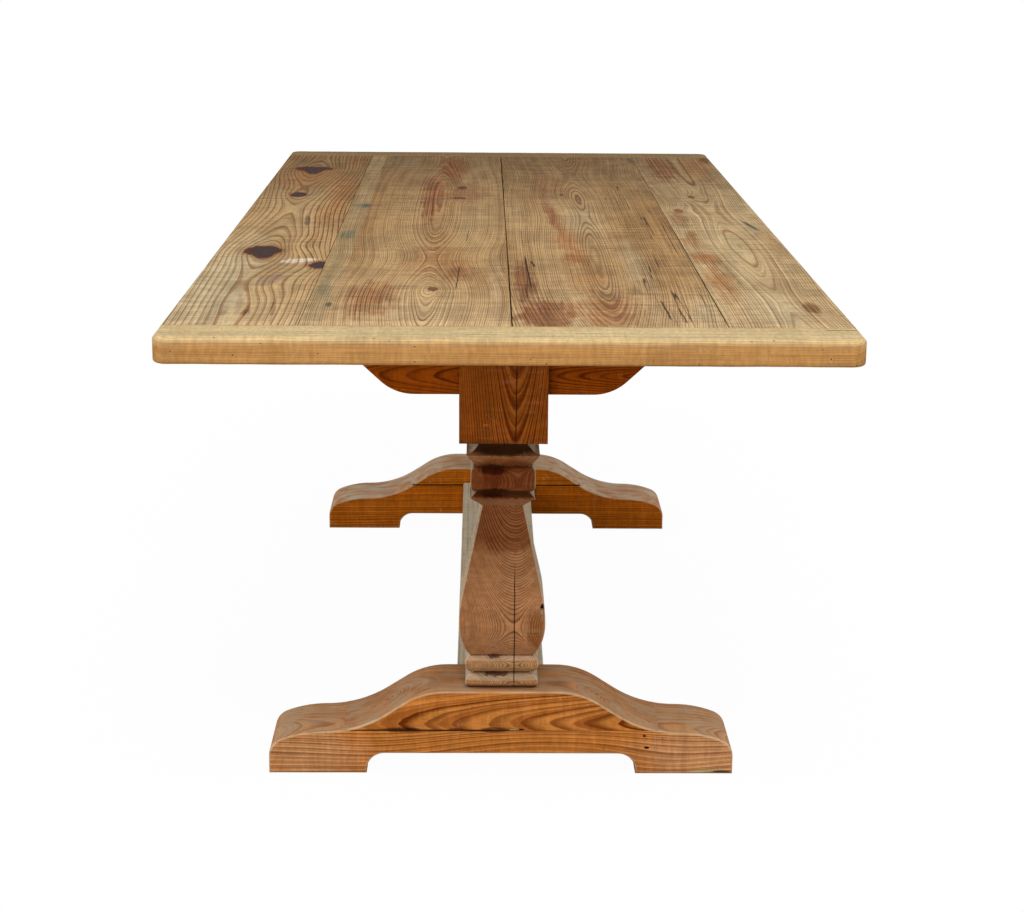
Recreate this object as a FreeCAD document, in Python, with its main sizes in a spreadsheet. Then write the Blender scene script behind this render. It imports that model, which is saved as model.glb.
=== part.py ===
import FreeCAD, Part
import math
import os
import Sketcher

# Trestle dining table, millimetres.
# +X runs across the table, +Y along it and +Z up. The origin is on the floor under the middle
# of the top. "Near" is the trestle at -Y and "far" the one at +Y.

sizes = {
    # table top: four planks between two breadboard ends
    "tableHeight": 760,
    "topLength": 2090,
    "topWidth": 944,
    "topThickness": 37,
    "breadboardWidth": 84,
    "middleJointOffset": 3.5,
    "innerLeftPlank": 289,
    "innerRightPlank": 293,
    "plankJointGap": 0.6,
    "topArrisRadius": 7,
    "undersideArrisRadius": 4.5,
    "topCornerRadius": 22,
    # end tongues of the planks, in the stopped groove of each breadboard end
    "endTongueLength": 26,
    "endTongueThickness": 12,
    "endTongueHaunch": 34,
    "endGrooveClearance": 2,
    "breadboardPegRadius": 4.75,
    "breadboardPegCover": 7,
    "breadboardPegReach": 13,
    # loose tongues between the planks
    "looseTongueWidth": 24,
    "looseTongueThickness": 9,
    "looseTongueStop": 60,
    "looseGrooveClearance": 0.5,
    # trestles, which stand a little to the left of the middle
    "trestleInset": 331.5,
    "trestleOffset": 4.5,
    "pegClearance": 0.1,
    # foot
    "footLength": 722,
    "footThickness": 123,
    "footHeight": 136,
    "footPadLength": 152,
    "footArchHeight": 33,
    "footArchRadius": 28,
    "footCrownHalf": 86,
    "footCrownRadius": 120,
    "footFlankAngle": 33,
    "footSaddleRadius": 180,
    "footSaddleHeight": 69,
    "footNoseHeight": 29,
    "footNoseRadius": 30,
    "nearFootBeamHeight": 72,
    "farFootBeamHeight": 98,
    # post: a square blank carved alike on its four faces; each rise is above the step below it
    "postWidth": 133,
    "postSetback": 4,
    "plinthHalf": 50.5,
    "lowerBeadHalf": 56,
    "beadRadius": 12,
    "lowerBeadRise": 13,
    "beadGrooveHalf": 44.5,
    "beadGrooveRise": 10.5,
    "upperBeadHalf": 55.5,
    "upperBeadRadius": 16,
    "upperBeadRise": 21.5,
    "vaseFootHalf": 50,
    "vaseFootRise": 8,
    "vaseBellyRise": 56,
    "vaseShoulderHalf": 62.1,
    "vaseShoulderRise": 42,
    "vaseNeckHalf": 31.8,
    "vaseNeckRise": 137,
    "lowerLipHalf": 49.4,
    "lowerLipRise": 15.5,
    "lipFlat": 1.5,
    "lowerNeckHalf": 39.6,
    "lowerNeckRise": 8,
    "torusHalf": 49.3,
    "torusHeight": 39.5,
    "torusTopHalf": 40,
    "upperLipHalf": 55.3,
    "upperLipRise": 18.5,
    "upperNeckHalf": 38.4,
    "upperNeckRise": 13.5,
    "upperNeckRadius": 32,
    "upperNeckFlat": 8,
    "postTenonWidth": 64,
    "postTenonThickness": 32,
    "postTenonLength": 88,
    "mortiseClearance": 2,
    "postPegRadius": 6,
    "postPegSpacing": 32,
    "postPegDrop": 24,
    "postPegLength": 104,
    # bearer under the top, in the bridle slot of the post's block
    "bearerLength": 700,
    "bearerThickness": 70,
    "bearerDepth": 125,
    "bearerFlatHalf": 134.5,
    "bearerCurveRadius": 74,
    "bearerFlankAngle": 43,
    "bearerHollowRadius": 50,
    "bearerNoseDepth": 57,
    "bearerNoseRadius": 10,
    "bearerArrisRadius": 2,
    "bridlePegRadius": 6,
    "bridlePegSpread": 44,
    "bridlePegRise": 42,
    "bridlePegSpacing": 42,
    "bridlePegLength": 118,
    # screws that hold the top to the bearers
    "screwLength": 75,
    "screwBite": 25,
    "screwRadius": 3,
    "screwHeadRadius": 6,
    "screwHeadHeight": 3.6,
    "screwSlotWidth": 1.2,
    "screwSlotDepth": 1.4,
    "screwClearance": 0.1,
    "screwBoreRadius": 7.5,
    "innerScrewOffset": 150,
    "outerScrewOffset": 322,
    # stretcher: a broad flat board tenoned into the inner faces of the feet
    "stretcherWidth": 142,
    "stretcherThickness": 46,
    "stretcherTop": 103,
    "stretcherArris": 3,
    "stretcherTenonWidth": 100,
    "stretcherTenonThickness": 24,
    "stretcherTenonLength": 30,
    "stretcherPegRadius": 6,
    "stretcherPegSpacing": 60,
    "stretcherPegCover": 5,
}


class Size:
    """A number, with the same value written as an expression on the sheet."""

    def __init__(self, number, text):
        self.number = number
        self.text = text

    def combine(self, other, sign, number):
        return Size(number, "(%s %s %s)" % (self.text, sign, as_size(other).text))

    def __add__(self, other):
        return self.combine(other, "+", self.number + as_size(other).number)

    def __sub__(self, other):
        return self.combine(other, "-", self.number - as_size(other).number)

    def __mul__(self, other):
        return self.combine(other, "*", self.number * as_size(other).number)

    def __truediv__(self, other):
        return self.combine(other, "/", self.number / as_size(other).number)

    def __neg__(self):
        return Size(-self.number, "(-%s)" % self.text)


def as_size(value):
    return value if isinstance(value, Size) else Size(float(value), repr(float(value)))


def sine(angle):
    return Size(math.sin(math.radians(angle.number)), "sin(%s)" % angle.text)


def cosine(angle):
    return Size(math.cos(math.radians(angle.number)), "cos(%s)" % angle.text)


doc = FreeCAD.newDocument("TrestleTable")
sheet = doc.addObject("Spreadsheet::Sheet", "Sizes")
for row, (alias, number) in enumerate(sizes.items(), start=1):
    sheet.set("A%d" % row, alias)
    sheet.set("B%d" % row, str(number))
    sheet.setAlias("B%d" % row, alias)
doc.recompute()


class Named:
    """Each size of the sheet as an attribute."""


s = Named()
for alias, number in sizes.items():
    setattr(s, alias, Size(float(number), "Sizes." + alias))


# ---- helpers -------------------------------------------------------------------------------

def bind(thing, field, value):
    """Set a property from a size, bound to the sheet."""
    thing.setExpression(field, as_size(value).text)


def place(thing, x, y, z):
    for axis, value in zip("xyz", (x, y, z)):
        bind(thing, "Placement.Base." + axis, value)


def box(name, low, high):
    """A block from its low corner to its high corner."""
    block = doc.addObject("Part::Box", name)
    for field, a, b in zip(("Length", "Width", "Height"), low, high):
        bind(block, field, as_size(b) - a)
    place(block, *low)
    return block


def centred_box(name, centre, size):
    low = [as_size(c) - as_size(d) / 2 for c, d in zip(centre, size)]
    high = [as_size(c) + as_size(d) / 2 for c, d in zip(centre, size)]
    return box(name, low, high)


turns = {
    "Y": FreeCAD.Rotation(FreeCAD.Vector(1, 0, 0), -90),
    "Z": FreeCAD.Rotation(),
}


def rod(name, foot, axis, radius, length):
    """A cylinder from its foot along +Y or +Z."""
    cylinder = doc.addObject("Part::Cylinder", name)
    cylinder.Placement = FreeCAD.Placement(FreeCAD.Vector(), turns[axis])
    bind(cylinder, "Radius", radius)
    bind(cylinder, "Height", length)
    place(cylinder, *foot)
    return cylinder


def fuse(name, pieces):
    joined = doc.addObject("Part::MultiFuse", name)
    joined.Shapes = pieces
    joined.Refine = True
    return joined


def group(name, pieces):
    """Separate solids that share one node."""
    compound = doc.addObject("Part::Compound", name)
    compound.Links = pieces
    return compound


def common(name, first, second):
    shared = doc.addObject("Part::Common", name)
    shared.Base = first
    shared.Tool = second
    doc.recompute()
    return shared


def cut(name, base, tools):
    """Base less all the tools; every tool has to take something away."""
    for index, tool in enumerate(tools):
        step = doc.addObject("Part::Cut", "%sCut%d" % (name, index))
        step.Base = base
        step.Tool = tool
        doc.recompute()
        if step.Shape.Volume > base.Shape.Volume - 1e-3:
            raise RuntimeError("%s: %s cuts nothing" % (name, tool.Name))
        base = step
    base.Refine = True
    return base


def sketch_on(body, name, plane):
    sketch = body.newObject("Sketcher::SketchObject", name)
    support = [part for part in body.Origin.OriginFeatures if part.Role == plane][0]
    sketch.AttachmentSupport = [(support, "")]
    sketch.MapMode = "FlatFace"
    return sketch


class Outline:
    """A closed run of lines and arcs whose corners are bound to the sheet."""

    def __init__(self, sketch, x, y):
        self.sketch = sketch
        self.start = (as_size(x), as_size(y))
        self.at = self.start
        self.last = None
        self.first = None

    def point(self, spot):
        return FreeCAD.Vector(spot[0].number, spot[1].number, 0)

    def pin(self, geometry, end, spot):
        for axis, value, other in (("DistanceX", spot[0], -2), ("DistanceY", spot[1], -1)):
            if value.number == 0:
                self.sketch.addConstraint(Sketcher.Constraint("PointOnObject", geometry, end, other))
            else:
                rule = Sketcher.Constraint(axis, -1, 1, geometry, end, value.number)
                index = self.sketch.addConstraint(rule)
                self.sketch.setExpression("Constraints[%d]" % index, value.text)

    def join(self, geometry, begin, end, spot):
        """Tie a new piece to the last one and pin its far end."""
        if self.last is None:
            self.first = (geometry, begin)
            self.pin(geometry, begin, self.start)
        else:
            rule = Sketcher.Constraint("Coincident", self.last[0], self.last[1], geometry, begin)
            self.sketch.addConstraint(rule)
        if spot is self.start:
            rule = Sketcher.Constraint("Coincident", geometry, end, self.first[0], self.first[1])
            self.sketch.addConstraint(rule)
        else:
            self.pin(geometry, end, spot)
        self.last = (geometry, end)
        self.at = spot

    def line(self, x, y):
        self.run((as_size(x), as_size(y)))

    def run(self, spot):
        edge = Part.LineSegment(self.point(self.at), self.point(spot))
        self.join(self.sketch.addGeometry(edge), 1, 2, spot)

    def arc(self, x, y, radius, left):
        """An arc under half a turn, bending left or right on its way to a point."""
        spot = (as_size(x), as_size(y))
        radius = as_size(radius)
        begin = self.point(self.at)
        chord = self.point(spot) - begin
        side = 1 if left else -1
        rise = math.sqrt(max(radius.number ** 2 - (chord.Length / 2) ** 2, 0))
        across = FreeCAD.Vector(-chord.y, chord.x, 0) / chord.Length
        centre = begin + chord / 2 + across * (rise * side)
        angles = [math.atan2(p.y - centre.y, p.x - centre.x) for p in (begin, self.point(spot))]
        circle = Part.Circle(centre, FreeCAD.Vector(0, 0, 1), radius.number)
        if left:
            geometry = self.sketch.addGeometry(Part.ArcOfCircle(circle, angles[0], angles[1]))
            ends = (1, 2)
        else:
            geometry = self.sketch.addGeometry(Part.ArcOfCircle(circle, angles[1], angles[0]))
            ends = (2, 1)
        self.join(geometry, ends[0], ends[1], spot)
        index = self.sketch.addConstraint(Sketcher.Constraint("Radius", geometry, radius.number))
        self.sketch.setExpression("Constraints[%d]" % index, radius.text)

    def close(self):
        self.run(self.start)


def pad(body, name, sketch, length):
    """A pad that reaches as far to each side of its sketch."""
    feature = body.newObject("PartDesign::Pad", name)
    feature.Profile = sketch
    feature.SideType = "Symmetric"
    bind(feature, "Length", length)
    doc.recompute()
    return feature


def mirrored(body, name, feature, plane):
    mirror = body.newObject("PartDesign::Mirrored", name)
    mirror.Originals = [feature]
    support = [part for part in body.Origin.OriginFeatures if part.Role == plane][0]
    mirror.MirrorPlane = (support, [""])
    body.Tip = mirror
    doc.recompute()
    return mirror


def rounded(body, name, feature, radius, chosen):
    """Round the edges that a test picks by their middle point and direction."""
    names = []
    for index, edge in enumerate(feature.Shape.Edges, start=1):
        middle = edge.valueAt((edge.FirstParameter + edge.LastParameter) / 2)
        along = edge.valueAt(edge.LastParameter) - edge.valueAt(edge.FirstParameter)
        if chosen(middle, along):
            names.append("Edge%d" % index)
    if not names:
        raise RuntimeError("%s finds no edge" % name)
    fillet = body.newObject("PartDesign::Fillet", name)
    fillet.Base = (feature, names)
    bind(fillet, "Radius", radius)
    body.Tip = fillet
    doc.recompute()
    return fillet


def near_value(a, b):
    return abs(a - b) < 1e-4


nodes = {}


def keep(node, piece, trestle=None):
    """Label a finished sub-part, and stand a trestle's piece at its end of the table."""
    piece.Label = node
    if trestle == "near":
        place(piece, trestle_x, -post_y, 0)
    elif trestle == "far":
        piece.Placement = FreeCAD.Placement(FreeCAD.Vector(), FreeCAD.Rotation(180, 0, 0))
        place(piece, trestle_x, post_y, 0)
    nodes[node] = piece


# ---- places worked out from the sizes --------------------------------------------------------

underside = s.tableHeight - s.topThickness
shoulder_y = s.topLength / 2 - s.breadboardWidth
post_y = s.topLength / 2 - s.trestleInset - s.postSetback - s.postWidth / 2
tongue_z = underside + s.topThickness / 2

trestle_x = -s.trestleOffset

# in a trestle's own frame the post stands at the origin, and -Y is the table's outside
foot_outer = -(s.postSetback + s.postWidth / 2)
foot_inner = foot_outer + s.footThickness
foot_middle = foot_outer + s.footThickness / 2
bearer_bottom = underside - s.bearerDepth

stretcher_middle = s.stretcherTop - s.stretcherThickness / 2
stretcher_half = post_y - foot_inner

plank_edges = [-s.topWidth / 2, s.middleJointOffset - s.innerLeftPlank, s.middleJointOffset,
               s.middleJointOffset + s.innerRightPlank, s.topWidth / 2]
plank_names = ["plank_outer_left", "plank_inner_left", "plank_inner_right", "plank_outer_right"]
screw_offsets = [-s.outerScrewOffset, -s.innerScrewOffset, s.innerScrewOffset, s.outerScrewOffset]


# ---- table top -------------------------------------------------------------------------------

def plank(index):
    """A plank with a tongue on each end and grooves for the loose tongues beside it."""
    name = "Plank%d" % index
    first, last = index == 0, index == 3
    low = plank_edges[index] if first else plank_edges[index] + s.plankJointGap / 2
    high = plank_edges[index + 1] if last else plank_edges[index + 1] - s.plankJointGap / 2
    body = doc.addObject("PartDesign::Body", name + "Body")
    sketch = sketch_on(body, name + "Section", "XZ_Plane")
    outline = Outline(sketch, 0, 0)
    outline.line(high - low, 0)
    outline.line(high - low, s.topThickness)
    outline.line(0, s.topThickness)
    outline.close()
    board = pad(body, name + "Board", sketch, shoulder_y * 2)
    place(body, low, 0, underside)
    if first or last:
        side = 0 if first else (high - low).number

        def outer_edge(z):
            return lambda middle, along: near_value(middle.x, side) and near_value(middle.z, z)

        board = rounded(body, name + "TopArris", board, s.topArrisRadius,
                        outer_edge(s.topThickness.number))
        rounded(body, name + "UndersideArris", board, s.undersideArrisRadius, outer_edge(0))
    reach = shoulder_y + s.endTongueLength
    tongue_low = low + s.endTongueHaunch if first else low
    tongue_high = high - s.endTongueHaunch if last else high
    half = s.endTongueThickness / 2
    tongue = box(name + "Tongue", (tongue_low, -reach, tongue_z - half),
                 (tongue_high, reach, tongue_z + half))
    tools = [loose_groove(name, edge) for edge in plank_edges[index:index + 2]
             if edge not in (plank_edges[0], plank_edges[-1])]
    tools += pilot_holes(name, screw_offsets[index])
    tools += [breadboard_peg(name + "PegHole", index, end, s.pegClearance) for end in (-1, 1)]
    keep(plank_names[index], cut(name, fuse(name + "Blank", [body, tongue]), tools))


def loose_groove(name, edge):
    """The slot on both sides of a joint, a little deeper than half the loose tongue."""
    reach = shoulder_y - s.looseTongueStop + s.looseGrooveClearance
    size = (s.looseTongueWidth + s.looseGrooveClearance * 2, reach * 2, s.looseTongueThickness)
    return centred_box(name + "Groove", (edge, 0, tongue_z), size)


def pilot_holes(name, x):
    """The holes that the two bearer screws under a plank bite into."""
    radius = s.screwRadius + s.screwClearance
    depth = s.screwBite + s.screwClearance
    return [rod(name + "Pilot", (trestle_x + x, y, underside), "Z", radius, depth)
            for y in (-post_y, post_y)]


def loose_tongue(node, edge):
    reach = shoulder_y - s.looseTongueStop
    size = (s.looseTongueWidth, reach * 2, s.looseTongueThickness)
    keep(node, centred_box(node.title().replace("_", ""), (edge, 0, tongue_z), size))


def breadboard_peg(name, index, end, clearance):
    """A peg, or its hole, driven up from below through the groove and the plank's tongue."""
    x = (plank_edges[index] + plank_edges[index + 1]) / 2
    y = (shoulder_y + s.breadboardPegReach) * end
    length = s.topThickness - s.breadboardPegCover + clearance
    return rod(name, (x, y, underside), "Z", s.breadboardPegRadius + clearance, length)


def breadboard_end(node, end):
    """The cross board at one end of the top, grooved along its inner edge."""
    name = "Breadboard" + node.split("_")[-1].title()
    body = doc.addObject("PartDesign::Body", name + "Body")
    sketch = sketch_on(body, name + "Section", "XY_Plane")
    half = s.topWidth / 2
    outline = Outline(sketch, 0, 0)
    outline.line(s.topWidth, 0)
    outline.line(s.topWidth, s.breadboardWidth - s.topCornerRadius)
    outline.arc(s.topWidth - s.topCornerRadius, s.breadboardWidth, s.topCornerRadius, True)
    outline.line(s.topCornerRadius, s.breadboardWidth)
    outline.arc(0, s.breadboardWidth - s.topCornerRadius, s.topCornerRadius, True)
    outline.close()
    board = pad(body, name + "Board", sketch, s.topThickness)

    def outside(z):
        return lambda middle, along: near_value(middle.z, z) and middle.y > 1e-4

    top = s.topThickness.number / 2
    board = rounded(body, name + "TopArris", board, s.topArrisRadius, outside(top))
    rounded(body, name + "UndersideArris", board, s.undersideArrisRadius, outside(-top))
    if end < 0:
        body.Placement = FreeCAD.Placement(FreeCAD.Vector(), FreeCAD.Rotation(180, 0, 0))
    place(body, half * -end, shoulder_y * end, tongue_z)
    depth = s.endTongueLength + s.endGrooveClearance
    width = s.topWidth - (s.endTongueHaunch - s.endGrooveClearance) * 2
    groove = centred_box(name + "Groove", (0, (shoulder_y + depth / 2) * end, tongue_z),
                         (width, depth, s.endTongueThickness))
    tools = [groove] + [breadboard_peg(name + "PegHole", index, end, s.pegClearance)
                        for index in range(4)]
    keep(node, cut(name, body, tools))


def breadboard_pegs(node, end):
    name = "BreadboardPeg" + node.split("_")[-1].title()
    keep(node, group(name + "s", [breadboard_peg(name, index, end, 0) for index in range(4)]))


# ---- pegs, mortises and screws, in a trestle's own frame -------------------------------------

def post_pegs(name, clearance):
    """Two pegs from the foot's inner face through the post's tenon, or their holes."""
    z = s.footHeight - s.postPegDrop
    low = foot_inner - s.postPegLength - clearance
    return [rod(name, (s.postPegSpacing / 2 * side, low, z), "Y", s.postPegRadius + clearance,
                s.postPegLength + clearance) for side in (-1, 1)]


def bridle_pegs(name, clearance):
    """Two pegs, set askew, from the block's inner face through the bearer, or their holes."""
    low = s.postWidth / 2 - s.bridlePegLength - clearance
    pegs = []
    for side in (-1, 1):
        spot = (s.bridlePegSpread / 2 * side, low, bearer_bottom + s.bridlePegRise
                + s.bridlePegSpacing * (side + 1) / 2)
        pegs.append(rod(name, spot, "Y", s.bridlePegRadius + clearance,
                        s.bridlePegLength + clearance))
    return pegs


def stretcher_pegs(name, clearance):
    """Two pegs from under the foot's arch up through the stretcher's tenon, or their holes."""
    y = foot_inner - s.stretcherTenonLength / 2
    top = stretcher_middle + s.stretcherTenonThickness / 2 + s.stretcherPegCover
    return [rod(name, (s.stretcherPegSpacing / 2 * side, y, s.footArchHeight), "Z",
                s.stretcherPegRadius + clearance, top - s.footArchHeight + clearance)
            for side in (-1, 1)]


def post_mortise(name):
    depth = s.postTenonLength + s.mortiseClearance
    return box(name + "PostMortise",
               (-s.postTenonWidth / 2, -s.postTenonThickness / 2, s.footHeight - depth),
               (s.postTenonWidth / 2, s.postTenonThickness / 2, s.footHeight))


def stretcher_mortise(name):
    depth = s.stretcherTenonLength + s.mortiseClearance
    half = s.stretcherTenonThickness / 2
    return box(name + "StretcherMortise",
               (-s.stretcherTenonWidth / 2, foot_inner - depth, stretcher_middle - half),
               (s.stretcherTenonWidth / 2, foot_inner, stretcher_middle + half))


def screw(name, x):
    """A countersunk wood screw with a slotted head, standing on its head."""
    foot_z = underside + s.screwBite - s.screwLength
    shank = rod(name + "Shank", (x, 0, foot_z), "Z", s.screwRadius, s.screwLength)
    head = doc.addObject("Part::Cone", name + "Head")
    bind(head, "Radius1", s.screwHeadRadius)
    bind(head, "Radius2", s.screwRadius)
    bind(head, "Height", s.screwHeadHeight)
    place(head, x, 0, foot_z)
    slot = box(name + "Slot",
               (x - s.screwHeadRadius, -s.screwSlotWidth / 2, foot_z),
               (x + s.screwHeadRadius, s.screwSlotWidth / 2, foot_z + s.screwSlotDepth))
    return cut(name, fuse(name + "Blank", [shank, head]), [slot])


def screw_bores(name, x):
    """The wide bore for a screw's head and the narrow hole for its shank."""
    seat = underside + s.screwBite - s.screwLength + s.screwHeadHeight
    wide = rod(name + "Bore", (x, 0, bearer_bottom), "Z", s.screwBoreRadius, seat - bearer_bottom)
    narrow = rod(name + "Shank", (x, 0, seat), "Z", s.screwRadius + s.screwClearance,
                 underside - seat)
    return [wide, narrow]


# ---- foot ------------------------------------------------------------------------------------

def foot_outline(sketch):
    """Half of the foot's face: arch, pad, nose, saddle, flank and crown."""
    half = s.footLength / 2
    pad_inner = half - s.footPadLength
    lean, level = sine(s.footFlankAngle), cosine(s.footFlankAngle)
    lift = as_size(1) - level
    crown_x = s.footCrownHalf + s.footCrownRadius * lean
    crown_z = s.footHeight - s.footCrownRadius * lift
    saddle_z = s.footSaddleHeight + s.footSaddleRadius * lift
    flank_x = crown_x + (crown_z - saddle_z) * level / lean
    saddle_x = flank_x + s.footSaddleRadius * lean
    # the long curve over the pad runs smoothly into the nose's round
    nose_x = half - s.footNoseRadius
    reach = nose_x - saddle_x
    rise = s.footSaddleHeight - s.footNoseHeight
    pad_radius = (reach * reach + rise * rise - s.footNoseRadius * s.footNoseRadius) \
        / ((rise - s.footNoseRadius) * 2)
    share = s.footNoseRadius / (pad_radius - s.footNoseRadius)

    outline = Outline(sketch, 0, s.footArchHeight)
    outline.line(pad_inner - s.footArchRadius, s.footArchHeight)
    outline.arc(pad_inner, s.footArchHeight - s.footArchRadius, s.footArchRadius, False)
    outline.line(pad_inner, 0)
    outline.line(half, 0)
    outline.line(half, s.footNoseHeight)
    outline.arc(nose_x + reach * share, s.footNoseHeight + (pad_radius - rise) * share,
                s.footNoseRadius, True)
    outline.arc(saddle_x, s.footSaddleHeight, pad_radius, True)
    outline.arc(flank_x, saddle_z, s.footSaddleRadius, False)
    outline.line(crown_x, crown_z)
    outline.arc(s.footCrownHalf, s.footHeight, s.footCrownRadius, True)
    outline.line(0, s.footHeight)
    outline.close()


def foot_blank(name):
    """The whole foot as sawn, before it is told apart at its glue line."""
    body = doc.addObject("PartDesign::Body", name + "Blank")
    sketch = sketch_on(body, name + "Face", "XZ_Plane")
    foot_outline(sketch)
    half = pad(body, name + "Half", sketch, s.footThickness)
    mirrored(body, name + "Whole", half, "YZ_Plane")
    place(body, 0, foot_middle, 0)
    return body


def foot_tools(name):
    """What is cut from a foot, each tool with its lowest and highest point."""
    tools = [(post_mortise(name), s.footHeight - s.postTenonLength - s.mortiseClearance,
              s.footHeight)]
    half = s.stretcherTenonThickness / 2
    tools.append((stretcher_mortise(name), stretcher_middle - half, stretcher_middle + half))
    peg_top = stretcher_middle + half + s.stretcherPegCover + s.pegClearance
    for hole in stretcher_pegs(name + "StretcherPegHole", s.pegClearance):
        tools.append((hole, s.footArchHeight, peg_top))
    peg_z, radius = s.footHeight - s.postPegDrop, s.postPegRadius + s.pegClearance
    for hole in post_pegs(name + "PostPegHole", s.pegClearance):
        tools.append((hole, peg_z - radius, peg_z + radius))
    return tools


def foot(trestle, beam_height):
    """A long beam with the crown glued on it, both mortised for the post and the stretcher."""
    name = "Foot" + trestle.title()
    blank = foot_blank(name)
    spare = as_size(1)
    tools = foot_tools(name)
    layers = (("beam", as_size(0), beam_height), ("crown", beam_height, s.footHeight))
    for layer, low, high in layers:
        title = name + layer.title()
        slab = box(title + "Slab", (-s.footLength / 2 - spare, foot_outer - spare, low),
                   (s.footLength / 2 + spare, foot_inner + spare, high))
        reaching = [tool for tool, bottom, top in tools
                    if bottom.number < high.number and top.number > low.number]
        piece = cut(title, common(title + "Blank", blank, slab), reaching)
        keep("foot_%s_%s" % (layer, trestle), piece, trestle)


# ---- post ------------------------------------------------------------------------------------

def post_outline(sketch):
    """Half of one carved face, from the foot's crown up to the underside of the top."""
    base = s.footHeight
    belly = s.postWidth / 2

    def belly_radius(half, rise):
        """An arc that is upright at the belly and ends at a half width, a rise above or below."""
        inset = belly - half
        return (inset * inset + rise * rise) / (inset * 2)

    outline = Outline(sketch, 0, base)
    outline.line(s.plinthHalf, base)
    height = base + s.lowerBeadRise
    outline.arc(s.lowerBeadHalf, height, s.beadRadius, True)
    height += s.beadGrooveRise
    outline.line(s.beadGrooveHalf, height)
    height += s.upperBeadRise
    outline.arc(s.upperBeadHalf, height, s.upperBeadRadius, True)
    height += s.vaseFootRise
    outline.line(s.vaseFootHalf, height)
    height += s.vaseBellyRise
    outline.arc(belly, height, belly_radius(s.vaseFootHalf, s.vaseBellyRise), True)
    height += s.vaseShoulderRise
    outline.arc(s.vaseShoulderHalf, height, belly_radius(s.vaseShoulderHalf, s.vaseShoulderRise), True)
    height += s.vaseNeckRise
    outline.line(s.vaseNeckHalf, height)
    height += s.lowerLipRise
    outline.line(s.lowerLipHalf, height)
    height += s.lipFlat
    outline.line(s.lowerLipHalf, height)
    height += s.lowerNeckRise
    outline.line(s.lowerNeckHalf, height)
    low_round, high_round = s.torusHalf - s.lowerNeckHalf, s.torusHalf - s.torusTopHalf
    outline.arc(s.torusHalf, height + low_round, low_round, True)
    height += s.torusHeight
    outline.line(s.torusHalf, height - high_round)
    outline.arc(s.torusTopHalf, height, high_round, True)
    height += s.upperLipRise
    outline.line(s.upperLipHalf, height)
    height += s.lipFlat
    outline.line(s.upperLipHalf, height)
    height += s.upperNeckRise
    outline.arc(s.upperNeckHalf, height, s.upperNeckRadius, False)
    height += s.upperNeckFlat
    outline.line(s.upperNeckHalf, height)
    outline.line(belly, height)
    outline.line(belly, underside)
    outline.line(0, underside)
    outline.close()


def silhouette(name, turn):
    """The post's outline run straight through the blank, seen from one side."""
    body = doc.addObject("PartDesign::Body", name)
    sketch = sketch_on(body, name + "Face", "XZ_Plane")
    post_outline(sketch)
    half = pad(body, name + "Half", sketch, s.postWidth)
    mirrored(body, name + "Whole", half, "YZ_Plane")
    body.Placement = FreeCAD.Placement(FreeCAD.Vector(), FreeCAD.Rotation(turn, 0, 0))
    return body


def post(trestle):
    """The carved post, with a stub tenon below and a bridle slot for the bearer above."""
    name = "Post" + trestle.title()
    carved = common(name + "Carved", silhouette(name + "Front", 0), silhouette(name + "Side", 90))
    tenon = box(name + "Tenon",
                (-s.postTenonWidth / 2, -s.postTenonThickness / 2, s.footHeight - s.postTenonLength),
                (s.postTenonWidth / 2, s.postTenonThickness / 2, s.footHeight))
    slot = box(name + "Slot", (-s.postWidth / 2, -s.bearerThickness / 2, bearer_bottom),
               (s.postWidth / 2, s.bearerThickness / 2, underside))
    tools = [slot] + bridle_pegs(name + "BridlePegHole", s.pegClearance)
    tools += post_pegs(name + "PegHole", s.pegClearance)
    keep("post_" + trestle, cut(name, fuse(name + "Blank", [carved, tenon]), tools), trestle)


# ---- bearer ----------------------------------------------------------------------------------

def bearer_outline(sketch):
    """Half of the bearer's face: flat belly, convex curve, straight flank, hollow and nose."""
    half = s.bearerLength / 2
    nose = underside - s.bearerNoseDepth
    lean, level = sine(s.bearerFlankAngle), cosine(s.bearerFlankAngle)
    lift = as_size(1) - level
    curve_x = s.bearerFlatHalf + s.bearerCurveRadius * lean
    curve_z = bearer_bottom + s.bearerCurveRadius * lift
    hollow_z = nose - s.bearerHollowRadius * lift
    hollow_x = curve_x + (hollow_z - curve_z) * level / lean

    outline = Outline(sketch, 0, bearer_bottom)
    outline.line(s.bearerFlatHalf, bearer_bottom)
    outline.arc(curve_x, curve_z, s.bearerCurveRadius, True)
    outline.line(hollow_x, hollow_z)
    outline.arc(hollow_x + s.bearerHollowRadius * lean, nose, s.bearerHollowRadius, False)
    outline.line(half - s.bearerNoseRadius, nose)
    outline.arc(half, nose + s.bearerNoseRadius, s.bearerNoseRadius, True)
    outline.line(half, underside)
    outline.line(0, underside)
    outline.close()


def bearer(trestle):
    name = "Bearer" + trestle.title()
    body = doc.addObject("PartDesign::Body", name + "Body")
    sketch = sketch_on(body, name + "Face", "XZ_Plane")
    bearer_outline(sketch)
    half = pad(body, name + "Half", sketch, s.bearerThickness)
    whole = mirrored(body, name + "Whole", half, "YZ_Plane")
    face = s.bearerThickness.number / 2
    nose_round = (underside - s.bearerNoseDepth + s.bearerNoseRadius).number

    def lower_arris(middle, along):
        return near_value(abs(middle.y), face) and middle.z < nose_round

    rounded(body, name + "Arris", whole, s.bearerArrisRadius, lower_arris)
    tools = bridle_pegs(name + "PegHole", s.pegClearance)
    for x in screw_offsets:
        tools += screw_bores(name + "Screw", x)
    keep("bearer_" + trestle, cut(name, body, tools), trestle)


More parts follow.
